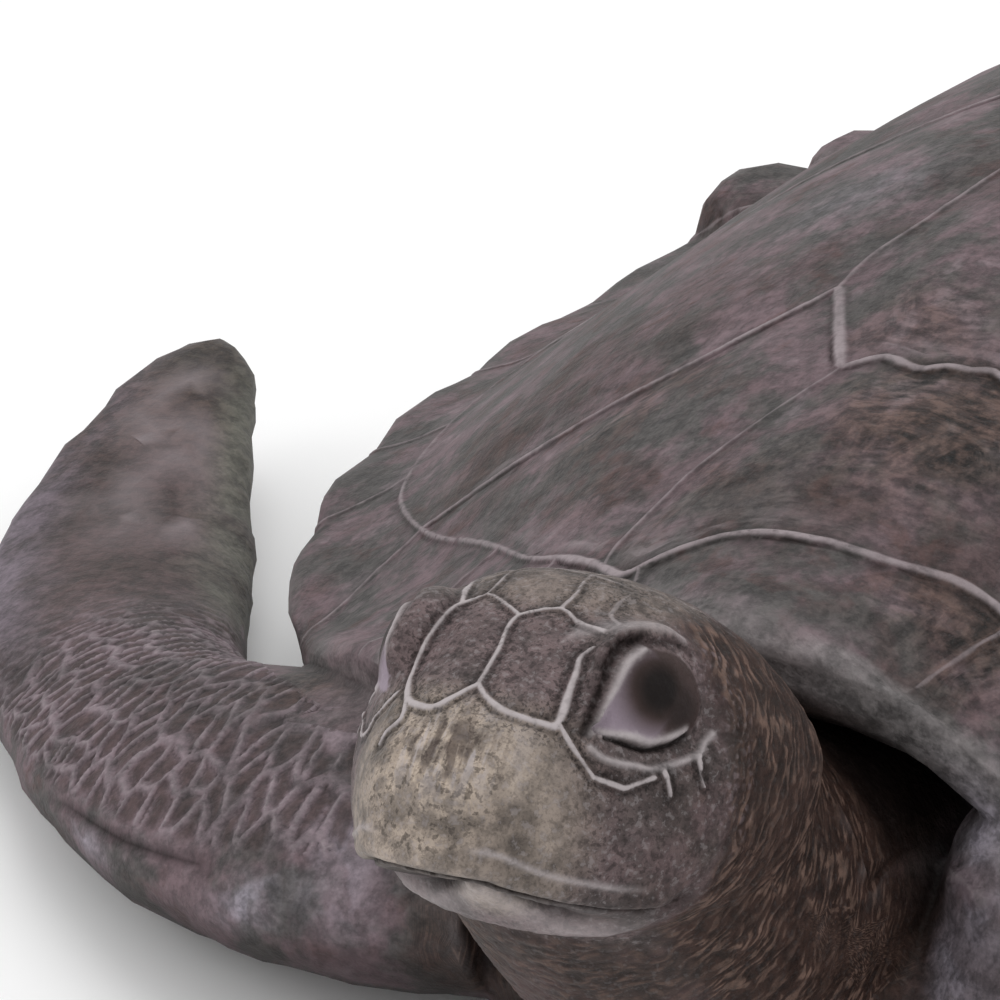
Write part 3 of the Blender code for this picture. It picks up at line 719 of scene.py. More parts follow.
def place_shell(w):
    """The shell's top and rim, the lip above the neck with a painted highlight along it, and painted shade in
    the hollow that the lip hangs over.
    """
    x, y, z = w.p.T
    wide = np.abs(x)
    behind = w.q[:, 0] < -0.70
    behind_head = behind * (y > -0.012)
    inside = half_width(y) - wide
    drop = dome(x, y) - z
    beside = np.maximum(step(inside, -0.045, -0.02), step(y, 0.05, 0.03))
    top = step(-drop, -0.016, -0.006) * step(w.n[:, 2], 0.0, 0.2)
    top = top * beside * (y > -0.01) * (y < 1.02) * behind_head
    w["shell"] = top
    wall = step(z - edge_height(around(y)), -0.052, -0.040) * beside * (y > -0.02) * (y < 1.03)
    wall = wall * (1 - top) * (1 - step(w.neck, 1.22, 1.08)) * behind_head
    w["rim"] = wall * np.maximum(step(inside, 0.045, 0.025), step(y, 0.03, 0.015))
    # Painted shade under the rim and on the front wall beside the neck, left off the limb roots
    under = step(inside, 0.004, 0.035) * step(drop, 0.030, 0.055) * (y > 0.0)
    face = 0.45 * step(drop, 0.008, 0.020) + 0.55 * step(drop, 0.020, 0.036)
    face = step(inside, 0.01, 0.06) * (y < 0.035) * face
    w["cavity"] = np.maximum(under, face) * behind * (1 - limb_root(w))
    # The lip's strip is painted light as a highlight along its top, with a dark line where the shell's top
    # ends above it
    lip = step(wide, 0.16, 0.12) * (z > 0.15) * behind * (y > -0.02)
    beyond = lip_line(wide) - y
    w["dark"] = 0.75 * bump(beyond + 0.0022, 0.0022) * lip * (drop < 0.01)
    w["lip"] = lip * step(beyond, -0.001, 0.001)
    w.lift -= 1.0 * MM * w["lip"]


def limb_root(w):
    """The low front of the body beside the neck, from which the fore limbs spring."""
    x, y, z = w.p.T
    near = np.maximum(step(x, 0.054, 0.068) * step(y, 0.015, 0.045), step(np.abs(x), 0.076, 0.092))
    return near * step(z, 0.180, 0.160)


def place_head(w):
    """The brown folded skin of the neck, throat and cheeks, the beads behind the eyes, and the snout, whose
    lighter colour also lies on top of the crown as a painted highlight.
    """
    x, y, z = w.q.T
    wide = np.abs(y)
    along_body = w.p[:, 1]
    below = mouth_line(x) - z
    side = step(x, 0.13, 0.0) * step(wide, 0.20, 0.34) * step(z, 0.42, 0.34)
    cheek = 0.35 * step(x, 0.42, 0.15) * step(z, 0.10, -0.02) * step(wide, 0.15, 0.3)
    throat = step(below, 0.11, 0.17) * step(x, 0.30, 0.10)
    brown = np.maximum(np.maximum(np.maximum(side, cheek), 0.75 * throat), step(x, -0.20, -0.45))
    brown = brown * (w.neck < 1.9) * (1 - w["shell"]) * (1 - w["rim"])
    w["neck"] = brown * step(along_body, 0.09, 0.05) * (1 - limb_root(w) * step(along_body, -0.03, 0.0))
    w["folded"] = w["neck"] * step(along_body, 0.008, -0.020)
    w["pebbles"] = step(x, 0.16, 0.10) * step(x, -0.10, 0.02) * step(wide, 0.30, 0.38)
    w["pebbles"] *= step(z, -0.20, -0.05) * (np.abs(z) < 0.45)
    w["head"] = step(x, -0.42, -0.2) * (1 - 0.9 * w["neck"])
    # The top of the crown takes the lighter snout colour as a painted highlight, where light falls from above
    crown = 0.45 * step(z, 0.33, 0.39) * step(x, -0.3, -0.1)
    w["snout"] = np.maximum(step(x, 0.34, 0.52) * step(z, 0.20, 0.10), crown)


def place_stains(w):
    """Brown stains on upward faces, and paler places on the limbs, the shoulders and the shell: rubbed ones,
    and painted light on the left shoulder under the rim.
    """
    def spot(away, size, salt):
        return step(away + 0.35 * size * noise(w.p, 0.6 * size, salt, 2), size, 0.3 * size)

    for *at, size, strength in STAINS:
        stain = strength * spot(np.hypot(*(w.p[:, :2] - at).T), size, 3)
        w["stain"] = np.maximum(w["stain"], stain * (w.n[:, 2] > 0.1) * (w.neck > 1.3))
    for *at, size, strength in PALE_PLACES_AND_PAINTED_LIGHT:
        pale = strength * spot(np.linalg.norm(w.p - at, axis=1), size, 7)
        w["pale"] = np.maximum(w["pale"], pale * step(w.neck, 0.95, 1.15))
    # The painted light on the shoulder also takes away the painted shade of the hollow there
    w["cavity"] *= 1 - 0.9 * w["pale"]


# How many scales, a millimetre wide, fit down a limb to each distance: 10 mm ones first, 6 mm at the bend
small_at = curve((0, 0.10, 0.18, 0.30, 0.8), (0, 0.010, 0.0185, 0.035, 0.115))


def place_on_limbs(w):
    """Scales, blades, creases and low bumps of the flippers and the tail, with each limb's own directions."""
    free = (w["shell"] < 0.3) & (w["rim"] < 0.3) & (w.neck > 1.05) & (w.q[:, 0] < -0.3)
    for path, size in ((FORE_FLIPPER, 1.0), (mirrored(FORE_FLIPPER), 1.0), (HIND_FLIPPER, 0.8),
                       (mirrored(HIND_FLIPPER), 0.8), (TAIL, 0.8)):
        rows = np.array(path)
        fore = rows[0, 1] < MIDDLE
        low = rows[:, :3].min(axis=0) - 0.10
        high = rows[:, :3].max(axis=0) + 0.10
        chosen = np.nonzero(free & np.all((w.p > low) & (w.p < high), axis=1))[0]
        p = w.p[chosen]
        down, side, rise = spine_coords(p, path)
        on = step(np.hypot(side, rise), 1.45, 1.2) * step(p[:, 2], 0.003, 0.010)
        on = on * step(w.neck[chosen], 1.05, 1.35)
        trailing = -side * np.sign(rows[-1, 0] + 1e-9)
        angle = np.arctan2(rise, trailing)
        under = 2.82 + 1.5 * (down - 0.113)
        plain = step(down, 0.27, 0.38) if fore else np.full(len(p), 0.4)
        scaled = on * (1 - plain) * step(angle, 0.2, 0.6) * step(angle, under - 0.05, under - 0.2)
        blade = on * (plain if fore else 0.6)
        w.add(chosen, limb=scaled, tips=blade, green=0.9 * blade * step(trailing, 0.55, 0.80),
              blue=0.8 * blade * step(trailing, -0.35, -0.70))
        flow = np.column_stack([small_at(down) / (MM * size), angle * 0.070 / (21 * MM * size), down * 0])
        flow[:, :2] += 0.25 * np.column_stack([noise(p, 24 * MM, 5, 2), noise(p, 24 * MM, 9, 2)])
        w.flows["limb_flow"][chosen] = flow
        if fore:
            wear_blade(w, chosen, blade, down, trailing, on)
        w.lift[chosen] += blade * step(np.abs(side), 0.6, 0.95) * 1.3 * MM * noise(p, 26 * MM, 6, 2)
        if fore:
            crease = bump(angle - under, 0.045) * on * step(down, 0.09, 0.12) * step(down, 0.24, 0.18)
            w.add(chosen, lift=-1.4 * MM * crease, dark=0.8 * crease)
            # Painted shade along the underside of each fore flipper
            w.add(chosen, dark=0.3 * on * (step(angle, -0.2, -0.6) + step(angle, -3.1, -2.9) * (angle < 0)))
        w.lift[chosen] += on * 0.9 * MM * noise(p, 20 * MM, 16, 2) * (1 - 0.5 * plain)


def wear_blade(w, chosen, blade, down, trailing, on):
    """Mossy tips, stains and fine pale worm-like ridges on the blade of a fore flipper."""
    worm = np.abs(noise(w.p[chosen], 15 * MM, 31, 2) + 0.3)
    worm = step(worm, 0.13, 0.05) * blade * step(trailing, -0.5, -0.2) * step(trailing, 0.75, 0.5)
    worm = worm * step(down, 0.40, 0.46) * step(down, 0.66, 0.62)
    w.add(chosen, lift=0.5 * MM * worm, worm=worm, moss=0.8 * on * step(down + 0.05 * trailing, 0.58, 0.66),
          stain=0.45 * blade * step(down, 0.50, 0.58))


def on_plan(p):
    """Plan places on the right half, with the left half's front seams a little further back."""
    lean = 0.021 * step(p[:, 0], 0.020, 0.085) * step(p[:, 1], 0.14, 0.08)
    lean = lean + 0.004 * step(p[:, 0], 0.0, 0.012) * bump(p[:, 1] - 0.185, 0.025)
    return np.column_stack([-np.abs(p[:, 0]), p[:, 1] - lean])


def seam_kinds(plan, who):
    """Half the width in mm and the strength of the seam nearest to each place."""
    half, strength = np.array(SEAM_KINDS + (RIM_SEAM_KIND,) * len(RIM_SEAMS))[who].T
    arc = step(-plan[:, 0], 0.16, 0.12)
    first = who == 0
    half = np.where(first, 1.0 + 0.8 * arc, half)
    strength = np.where(first, (0.7 + 0.3 * arc) * (1 - 0.5 * step(plan[:, 1], 0.24, 0.30)), strength)
    rear = step(plan[:, 1], 0.40, 0.50) * (who < len(PLATES))
    return np.maximum(half, 1.6 * rear), np.maximum(strength, 0.8 * rear)


def carve_shell(w):
    """Seams raised between the scutes, a groove beside each, and a growth line inside the strong ones."""
    chosen = np.nonzero(w["shell"] > 0)[0]
    top = w["shell"][chosen]
    p = w.p[chosen]
    plan = on_plan(p)
    away, who, way = nearest(plan, [rounded(path) for path in PLATES] + list(RIM_SEAMS))
    half, strength = seam_kinds(plan, who)
    strength = strength * (1 + 0.25 * noise(p, 30 * MM, 3, 2))
    snap = away < SNAP
    moved = plan[snap] - way[snap]
    lowered = dome(*moved.T) - dome(*plan[snap].T)
    flip = np.where(p[snap, 0] > 0, -1, 1)
    w.shift[chosen[snap]] += np.column_stack([-way[snap, 0] * flip, -way[snap, 1], lowered])
    away = np.where(snap, 0, away) / MM
    away = away + step(away, 0.3, 1.5) * 0.35 * noise(p, 9 * MM, 8, 2)
    outer = step(dots(way, plan - PLAN_CENTRE), -0.0004, 0.0004)
    ridge = np.exp(-np.abs(away / half) ** 2.4)
    groove = bump(away - half - 1.6, 1.3)
    ring = bump(away - half - 5.5, 1.3) * step(strength, 0.6, 0.9) * (1 - outer)
    ring = ring * step(noise(p, 40 * MM, 13, 1), -0.4, 0.3)
    swell = 0.0035 * step(away * MM, 0.004, 0.045)
    lift = strength * (1.1 * ridge - 0.35 * groove) * MM + 0.45 * MM * ring + swell
    w.lift[chosen] += top * (lift + 0.20 * MM * noise(p, 16 * MM, 21, 2))
    w["seam"][chosen] = np.where(top > 0.3, away / half, FAR)
    w["seam_strength"][chosen] = strength * top
    # Darker beside each seam: patina in the groove, and painted shade that is stronger on the seam's outer
    # side
    w["dark"][chosen] = top * strength * bump(away - half - 0.9, 1.0) * (0.35 + 0.5 * outer)
    w["streak"][chosen] = 0.6 * top * ring
    w.flows["ring_place"][chosen] = np.column_stack([away / 3.6, plan / (17 * MM)])


def carve_plates(w, chosen):
    """Raised seams between the plates of the head, each in a shallow groove."""
    q = w.q[chosen]
    x, _, z = q.T
    sides = np.array([1, -1, 1])
    cheek = [np.array(path) for path in CHEEK_SEAMS] + [np.array(path) * sides for path in CHEEK_SEAMS]
    plates = [rounded(path) for path in SNOUT_SEAMS + CROWN_SEAMS]
    away, who, _ = nearest(q, plates + cheek, w.qn[chosen])
    away = away + 0.0022 * noise(w.p[chosen], 12 * MM, 5, 2)
    faint = step(x, -0.45, -0.2) * (0.40 + 0.60 * step(x, 0.0, 0.14)) * np.where(who == FAINT_SEAM, 0.4, 1)
    half = 0.0062 + 0.003 * (who < 3) * step(z, 0.2, 0.14) - 0.0008 * (who >= len(plates))
    groove = bump(away - half - 0.008, 0.007) * faint
    lift = 0.0055 * (np.exp(-np.abs(away / half) ** 2.4) * faint) - 0.0025 * groove
    lift = lift + 0.004 * step(away, 0.01, 0.07) * faint
    w["seam"][chosen] = away / half
    w["seam_strength"][chosen] = faint * 1.1
    return lift, 0.55 * groove


def carve_head(w):
    """Plates of the head, the beak, the mouth and the jaw, which is set back and narrowed, with painted shade
    in the mouth's slit, under the beak and beneath the jaw.
    """
    chosen = np.nonzero(on_head(w.q))[0]
    q = w.q[chosen]
    x, y, z = q.T
    below = mouth_line(x) - z
    lift, dark = carve_plates(w, chosen)
    cut = step(x, MOUTH_CORNER - 0.04, MOUTH_CORNER + 0.04)
    slit = bump(below, 0.010) * cut
    under_beak = step(x, 0.22, 0.40) * step(below, 0.0, 0.012) * step(below, 0.060, 0.034)
    beak = bump(below + 0.066 + 0.01 * step(x, 0.45, 0.58), 0.007) * step(x, 0.2, 0.34)
    beak = beak * step(np.abs(y), 0.10, 0.16)
    jaw = bump(below - 0.122, 0.014) * step(x, 0.05, 0.16)
    pit = bump(x - 0.105, 0.035) * bump(z + 0.268, 0.030) * (np.abs(y) > 0.2)
    scored = bump(y - 0.02, 0.12) * bump(z - 0.05, 0.08) * step(x, 0.36, 0.46)
    lift = (lift - 0.026 * slit - 0.030 * step(x, 0.1, 0.6) * step(below, 0.0, 0.03)
            + 0.010 * cut * bump(below + 0.035, 0.022) + 0.014 * cut * bump(below - 0.055, 0.036)
            + 0.006 * beak - 0.018 * jaw + 0.004 * scored * noise(q * (0.4, 1, 0.2), 0.036, 33, 2)
            + 0.0020 * noise(q, 0.040, 41, 3) - 0.012 * pit)
    # Painted shade in the mouth's slit, under the beak and beneath the jaw; the grooves of the plates and the
    # pits by the mouth are darker too
    dark = np.max([dark, slit, 0.85 * under_beak, 0.9 * jaw, 0.85 * pit], axis=0)
    rub = np.maximum(0.6 * beak, 0.45 * cut * bump(below - 0.062, 0.034))
    sand = bump(y + 0.01, 0.15) * bump(z + 0.03, 0.15) * step(x, 0.40, 0.50)
    w.add(chosen, lift=lift * HEAD, rub=rub, dark=dark, sand=sand, streak=scored)
    jaw_end = step(x, 0.08, 0.60) * step(below, 0.004, 0.030) * step(below, 0.34, 0.16)
    w.shift[chosen] -= (np.outer(JAW_BACK * jaw_end * HEAD, HEAD_TURN[0])
                        + np.outer(JAW_NARROWED * y * jaw_end * HEAD, HEAD_TURN[1]))


def eye_form(plane, high, out, reach, angle):
    """Height of the eyeball and its lids over the plane of the eye, where now the skin is this high."""
    front = step(np.cos(np.radians(angle - 10)), 0.0, 0.6)
    ball = 0.046 - 2.0 * np.sum((plane - (-0.010, 0.0)) ** 2, axis=1)
    lid_level = 0.008 - 0.9 * np.maximum(reach - 0.11, 0) ** 2
    flat = step(out, 0.10, 0.015) * step(reach, 0.34, 0.22)
    soft = 0.006 + 0.030 * (1 - front)
    inner = step(out, soft, -0.004 - 0.5 * soft)
    return (1 - flat) * high + flat * (inner * ball + (1 - inner) * lid_level)


def carve_eyes(w):
    """Eyeballs under soft lids, with a light rim in front, a painted highlight on each ball's lower edge,
    folds below, and a groove before them; the groove, the slit under the ball and the fold under the brow are
    painted dark as shade.

    The right eye is carved more weakly than the left.
    """
    for side in (-1, 1):
        x, y, z = w.q.T
        chosen = np.nonzero((y * side > 0.12) & (x > -0.1) & (x < 0.55) & (z > -0.12) & (z < 0.45))[0]
        turned = w.q[chosen] * (1, side, 1) - EYE_AT
        plane = np.stack([turned @ EYE_AHEAD, turned @ EYE_UP], 1)
        high = turned @ EYE_FACES
        from_middle = plane - EYE_MIDDLE
        reach = np.linalg.norm(from_middle, axis=1)
        angle = np.degrees(np.arctan2(from_middle[:, 1], from_middle[:, 0]))
        angle = np.where(angle < LID_ANGLES[0], angle + 360, angle)
        out = reach - lid_radius(angle)
        level = eye_form(plane, high, out, reach, angle)
        fading = step(reach, 0.34, 0.22)
        rub = np.zeros(len(plane))
        dark = np.zeros(len(plane))
        # Each line raises or sinks the skin and lightens or darkens it: rubbed ridges, a painted highlight on
        # the ball, and painted shade in the slit and the grooves
        for half, rise, rubbed, darkness, path in EYE_LINES:
            mark = np.exp(-np.abs(nearest(plane, [rounded(path)])[0] / half) ** 2.2) * fading
            if side < 0:
                mark = mark * step(reach, 0.155, 0.125)
            level = level + rise * mark
            rub = np.maximum(rub, rubbed * mark)
            dark = np.maximum(dark, darkness * mark)
        near_eye = step(reach, 0.22, 0.17) * (out < 0.06)
        if side < 0:
            level = high + np.where(level > high, 0.15, 0.5) * (level - high) * step(reach, 0.20, 0.13)
            near_eye = step(reach, 0.13, 0.10) * (out < 0.06)
        w.shift[chosen] += ((level - high)[:, None] * EYE_FACES * (1, side, 1)) @ HEAD_TURN * HEAD
        for values in (w.lift, w["seam_strength"], w["dark"], w["rub"]):
            values[chosen] *= 1 - near_eye
        w.add(chosen, rub=rub, dark=dark, lid=step(out, 0.004, -0.004) * (reach < 0.3))
        w.flows["eye_place"][chosen] = np.column_stack([plane, np.ones(len(plane))])
        w["neck"][chosen] *= 1 - step(out, 0.03, 0.0) * step(reach, 0.3, 0.25)


def patterns(net):
    """The fine patterns that the relief and the patina share, each laid along its own part of the skin."""
    scales = net.cracks(net.vector("limb_flow"), "2D")
    folds = net.noise(net.vector("neck_flow"), 1.0, 1.5, 0.5, kind="2D")
    pebbles = net.cracks(net.combined("SCALE", net.vector("head_flow"), Scale=38.0), "3D")
    return {"scales": scales, "folds": folds, "pebble": pebbles}


def with_patterns(obj):
    """Stores on each point of the mesh what the shared patterns give there."""
    tree = bpy.data.node_groups.new("patterns", "GeometryNodeTree")
    for way in ("INPUT", "OUTPUT"):
        tree.interface.new_socket("Geometry", in_out=way, socket_type="NodeSocketGeometry")
    net = Nodes(tree)
    mesh = net.add("NodeGroupInput").outputs[0]
    for name, value in patterns(net).items():
        mesh = net.add("GeometryNodeStoreNamedAttribute", {"Geometry": mesh, "Name": name, "Value": value},
                       data_type="FLOAT", domain="POINT").outputs[0]
    net.add("NodeGroupOutput", {0: mesh})
    obj.modifiers.new("patterns", "NODES").node_group = tree
    evaluated(obj)


def fine_relief(w, mesh):
    """Lifts the scales of the limbs, the folds of the neck and the pebbles round the eyes."""
    scales, folds, pebble = (read(mesh.attributes[name].data, "value", 1)[:, 0]
                             for name in ("scales", "folds", "pebble"))
    border = step(scales, 0.16, 0.02)
    w.lift += w["limb"] * (0.7 * border - 0.4 * bump(scales - 0.20, 0.07)) * MM
    w.lift += w["folded"] * 1.5 * (folds - 0.5) * MM
    w.lift += w["pebbles"] * (1 - w["lid"]) * 0.35 * step(pebble, 0.02, 0.22) * MM


def store(mesh, name, values, kind="FLOAT"):
    layer = mesh.attributes.get(name) or mesh.attributes.new(name, kind, "POINT")
    layer.data.foreach_set("value" if kind == "FLOAT" else "vector", values.astype(np.float32).ravel())


def fused_forms():
    """All the forms as one skin of even grain, finer on the head and along the seams that show most."""
    turtle = joined(forms(), "sea_turtle_casting")
    fuse = turtle.modifiers.new("fuse", "REMESH")
    fuse.mode = "VOXEL"
    fuse.voxel_size = GRAIN
    evaluated(turtle)
    # Six rounds at a grain of 3.5 mm, and more at a finer one, ease the joins equally far
    ease = turtle.modifiers.new("ease", "SMOOTH")
    ease.factor = 0.5
    ease.iterations = int(6 * (0.0035 / GRAIN) ** 2)
    evaluated(turtle)
    p = read(turtle.data.vertices, "co") / L
    q = in_head(p)
    fine = on_head(q)
    seams = np.nonzero((p[:, 1] < 0.55) & (p[:, 2] - dome(p[:, 0], p[:, 1]) > -0.02) & (q[:, 0] < -0.7))[0]
    away, _, _ = nearest(on_plan(p[seams]), PLATES + RIM_SEAMS)
    fine[seams[away < FINE_BESIDE_SEAM]] = True
    refined(turtle, fine)
    return turtle


def build_turtle():
    turtle = fused_forms()
    work = Work(read(turtle.data.vertices, "co") / L, read(turtle.data.vertices, "normal"))
    for place_or_carve in (place_neck, place_shell, place_head, place_stains, place_on_limbs, carve_shell,
                           carve_head, carve_eyes):
        place_or_carve(work)
    for name, values in work.flows.items():
        store(turtle.data, name, values, "FLOAT_VECTOR")
    with_patterns(turtle)
    mesh = turtle.data
    fine_relief(work, mesh)
    p = work.p + work.lift[:, None] * work.n + work.shift
    p[:, 1] -= MIDDLE
    put(mesh, within(p * L, cad_box))
    work["relief"] = relief(mesh)
    for name, values in work.masks.items():
        store(mesh, name, values)
    points = read(mesh.vertices, "co")
    normals = read(mesh.vertices, "normal")
    thinned(turtle, work)
    smooth_normals(turtle.data, points, normals)
    return turtle


def within(p, box):
    """Eases what stands proud of a side of the box back inside it."""
    for way, sign in ((0, -1), (0, 1), (1, -1), (1, 1), (2, 1)):
        out = sign * p[:, way] - sign * box[(sign + 1) // 2][way]
        proud = max(out.max() + BOX_MARGIN, 0)
        p[:, way] -= sign * proud * step(out, -0.03, 0)
    p[:, 2] = np.maximum(p[:, 2], 0)
    return p


def relief(mesh):
    """How far each point stands out from its surroundings, in mm, near and a little wider."""
    ends = np.empty(len(mesh.edges) * 2, np.int64)
    mesh.edges.foreach_get("vertices", ends)
    a, b = ends.reshape(-1, 2).T
    p = read(mesh.vertices, "co")
    n = read(mesh.vertices, "normal")
    count = len(p)
    linked = np.bincount(a, minlength=count) + np.bincount(b, minlength=count)

    def neighbours_mean(column):
        total = np.bincount(a, weights=column[b], minlength=count)
        return (total + np.bincount(b, weights=column[a], minlength=count)) / linked

    proud = np.zeros(count)
    eased = p
    for rounds, share in ((2, 1.0), (12, 0.5)):
        for _ in range(rounds):
            eased = 0.5 * eased + 0.5 * np.stack([neighbours_mean(column) for column in eased.T], 1)
        proud += share * dots(p - eased, n) * 1000
    return np.clip(proud, -1.5, 1.5)


def thinned(turtle, work, levels=8):
    """Cuts the triangles to what a piece may hold, most kept on the head and on the carving."""
    x, y, _ = work.q.T
    detail = 0.55 * work["seam_strength"] * step(work["seam"], 3.0, 1.5)
    detail = np.maximum(detail, 0.45 * work["limb"] * (work.p[:, 0] < 0) + 0.25 * work["limb"])
    detail = np.maximum(detail, 0.70 * step(x, -0.62, -0.45) * (np.abs(y) < 0.6))
    detail = np.maximum(detail, 0.95 * step(work["rub"] + work["dark"], 0.1, 0.5) * (x > -0.1))
    detail = np.where(work.p[:, 1] > 0.55, 0.5 * detail, detail)
    keep = turtle.vertex_groups.new(name="keep")
    for level in range(levels + 1):
        chosen = np.nonzero(np.round(np.clip(detail, 0, 1) * levels) == level)[0]
        keep.add(chosen.tolist(), 1 - 0.1 * level, "REPLACE")
    thin = turtle.modifiers.new("thin", "DECIMATE")
    thin.vertex_group = "keep"
    thin.vertex_group_factor = 0.05
    thin.ratio = TRIANGLES / sum(len(f.vertices) - 2 for f in turtle.data.polygons)
    evaluated(turtle)
    turtle.vertex_groups.clear()
    p = read(turtle.data.vertices, "co")
    p[:, 2] = np.maximum(p[:, 2], 0)
    put(turtle.data, p)


def smooth_normals(mesh, points, normals):
    """Shades the thinned mesh as the full one, by the normals of the nearest of its points."""
    tree = KDTree(len(points))
    for i, point in enumerate(points.tolist()):
        tree.insert(point, i)
    tree.balance()
    near_to = [tree.find(point)[1] for point in read(mesh.vertices, "co").tolist()]
    mesh.shade_smooth()
    mesh.normals_split_custom_set_from_vertices(normals[near_to].tolist())


def srgb(r, g, b):
    """The linear colour of an sRGB triple given from 0 to 255."""
    def one(c):
        c /= 255
        return c / 12.92 if c < 0.04045 else ((c + 0.055) / 1.055) ** 2.4

    return (one(r), one(g), one(b), 1)


class Nodes:
    """Short calls for laying out the nodes of a material or of a geometry tree.

    A value is a number, a socket, the name of a mask or of a socket kept in named, or the settings of a ramp.
    """

    def __init__(self, tree):
        self.tree = tree
        self.named = {}

    def add(self, kind, inputs=None, **settings):
        node = self.tree.nodes.new(kind)
        for key, value in settings.items():
            setattr(node, key, value)
        for key, value in (inputs or {}).items():
            if isinstance(value, bpy.types.NodeSocket):
                self.tree.links.new(value, node.inputs[key])
            else:
                node.inputs[key].default_value = value
        return node

    def value(self, given):
        """The socket or number that a value stands for."""
        if isinstance(given, tuple):
            return self.ramp(*given)
        if isinstance(given, str) and given not in self.named:
            self.named[given] = self.add("ShaderNodeAttribute", attribute_name=given).outputs["Fac"]
        return self.named[given] if isinstance(given, str) else given

    def vector(self, name):
        if self.tree.bl_idname == "ShaderNodeTree":
            return self.add("ShaderNodeAttribute", attribute_name=name).outputs["Vector"]
        return self.add("GeometryNodeInputNamedAttribute", {"Name": name},
                        data_type="FLOAT_VECTOR").outputs[0]

    def combined(self, operation, *vectors, output=0, **inputs):
        return self.add("ShaderNodeVectorMath", {**dict(enumerate(vectors)), **inputs},
                        operation=operation).outputs[output]

    def math(self, operation, a, b, clamp=False):
        return self.add("ShaderNodeMath", {0: self.value(a), 1: self.value(b)}, operation=operation,
                        use_clamp=clamp).outputs[0]

    def times(self, first, *others):
        for value in others:
            first = self.math("MULTIPLY", first, value)
        return self.value(first)

    def largest(self, first, *others):
        for value in others:
            first = self.math("MAXIMUM", first, value)
        return first

    def ramp(self, value, low, high, to_low=0.0, to_high=1.0):
        """Maps a value between two bounds on to another two, with a smooth step."""
        inputs = {"Value": self.value(value), "From Min": low, "From Max": high,
                  "To Min": to_low, "To Max": to_high}
        return self.add("ShaderNodeMapRange", inputs, interpolation_type="SMOOTHSTEP").outputs["Result"]

    def mix(self, share, a, b, blend="MIX"):
        inputs = {0: self.value(share), 6: a, 7: b}
        return self.add("ShaderNodeMix", inputs, data_type="RGBA", blend_type=blend).outputs[2]

    def noise(self, place, scale, detail=3.0, roughness=0.6, distortion=0.0, kind="3D"):
        inputs = {"Vector": place, "Scale": scale, "Detail": detail, "Roughness": roughness,
                  "Distortion": distortion}
        return self.add("ShaderNodeTexNoise", inputs, noise_dimensions=kind).outputs[0]

    def cracks(self, place, kind):
        """Distance to the nearest border between cells of unit size."""
        return self.add("ShaderNodeTexVoronoi", {"Vector": place, "Scale": 1.0, "Randomness": 0.78},
                        voronoi_dimensions=kind, feature="DISTANCE_TO_EDGE").outputs["Distance"]


# Colours of the patina, from 0 to 255
PATINA = {
    "mauve": (94, 79, 83),
    "grey_green": (77, 74, 73),
    "red_brown": (76, 57, 56),
    "brown": (56, 43, 40),
    "light": (116, 104, 108),
    "rim": (80, 76, 75),
    # The lip's colour is a painted highlight
    "lip": (118, 114, 114),
    "green": (96, 96, 88),
    "head": (94, 81, 80),
    "snout": (138, 127, 118),
    "neck": (52, 37, 32),
    "fold": (102, 82, 73),
    "cheek": (104, 94, 87),
    "blade": (66, 53, 49),
    "umber": (76, 61, 56),
    "sand": (164, 150, 136),
    "blue": (102, 93, 102),
    "moss": (52, 58, 52),
    "limb": (84, 73, 77),
    "scale": (110, 98, 103),
    "pale": (146, 140, 150),
    "iris": (16, 8, 7),
    "ring": (62, 47, 45),
    "white": (142, 129, 140),
    "seam": (148, 137, 140),
    "rub": (176, 168, 169),
    "dark": (22, 17, 16),
}
# Noises over the whole casting: scale, detail, roughness and distortion
NOISES = {
    "clouds": (9.0, 4.0, 0.65),
    "blotch": (26.0, 4.0, 0.62),
    "patch": (46.0, 3.0, 0.6, 0.4),
    "mottle": (150.0,),
    "speck": (420.0,),
    "grit": (900.0, 2.0),
}
# Layers of patina from the ground out: a colour, then the values that multiply to its share. A value in
# brackets is a ramp: what it reads, from where to where, and what it gives there if not 0 and 1.
GROUND = (
    ("red_brown", ("patch", 0.52, 0.64), ("clouds", 0.35, 0.6), 0.8),
    ("brown", "shell", ("clouds", 0.50, 0.62), 0.55),
    ("light", ("patch", 0.45, 0.33), ("clouds", 0.60, 0.40), 0.5),
    ("rim", "rim", 0.6),
    # The lip, painted light as a highlight
    ("lip", "lip", 0.7),
    ("limb", "all_limb", 0.5),
    ("blade", "tips", 0.6),
    ("blue", "blue", ("blotch", 0.35, 0.55, 0.4, 1.0)),
    ("moss", "moss", ("mottle", 0.3, 0.6, 0.5, 0.9)),
    ("head", "head", 0.7),
    ("cheek", "snout", 0.7),
    ("stained", "stain", ("patch", 0.35, 0.55, 0.6, 1.0)),
    ("pale", "pale", ("patch", 0.40, 0.55, 0.45, 1.0)),
    ("green", "green", ("blotch", 0.35, 0.55, 0.3, 0.9)),
    ("snout", "snout", ("blotch", 0.35, 0.6, 0.5, 1.0)),
    ("sand", "sand", ("mottle", 0.40, 0.58, 0.2, 0.9)),
    ("neck", "neck"),
    ("fold", "neck", ("folds", 0.50, 0.62), "in_folds"),
    ("dark", "in_folds", ("folds", 0.44, 0.34), 0.5),
    ("scale", "limb", ("scales", 0.19, 0.04), ("blotch", 0.40, 0.60, 0.3, 0.9)),
    ("brown", "limb", ("scales", 0.15, 0.35), 0.6),
    ("light", "pebbles", ("pebble", 0.12, 0.30), ("mottle", 0.4, 0.6), 0.35),
)
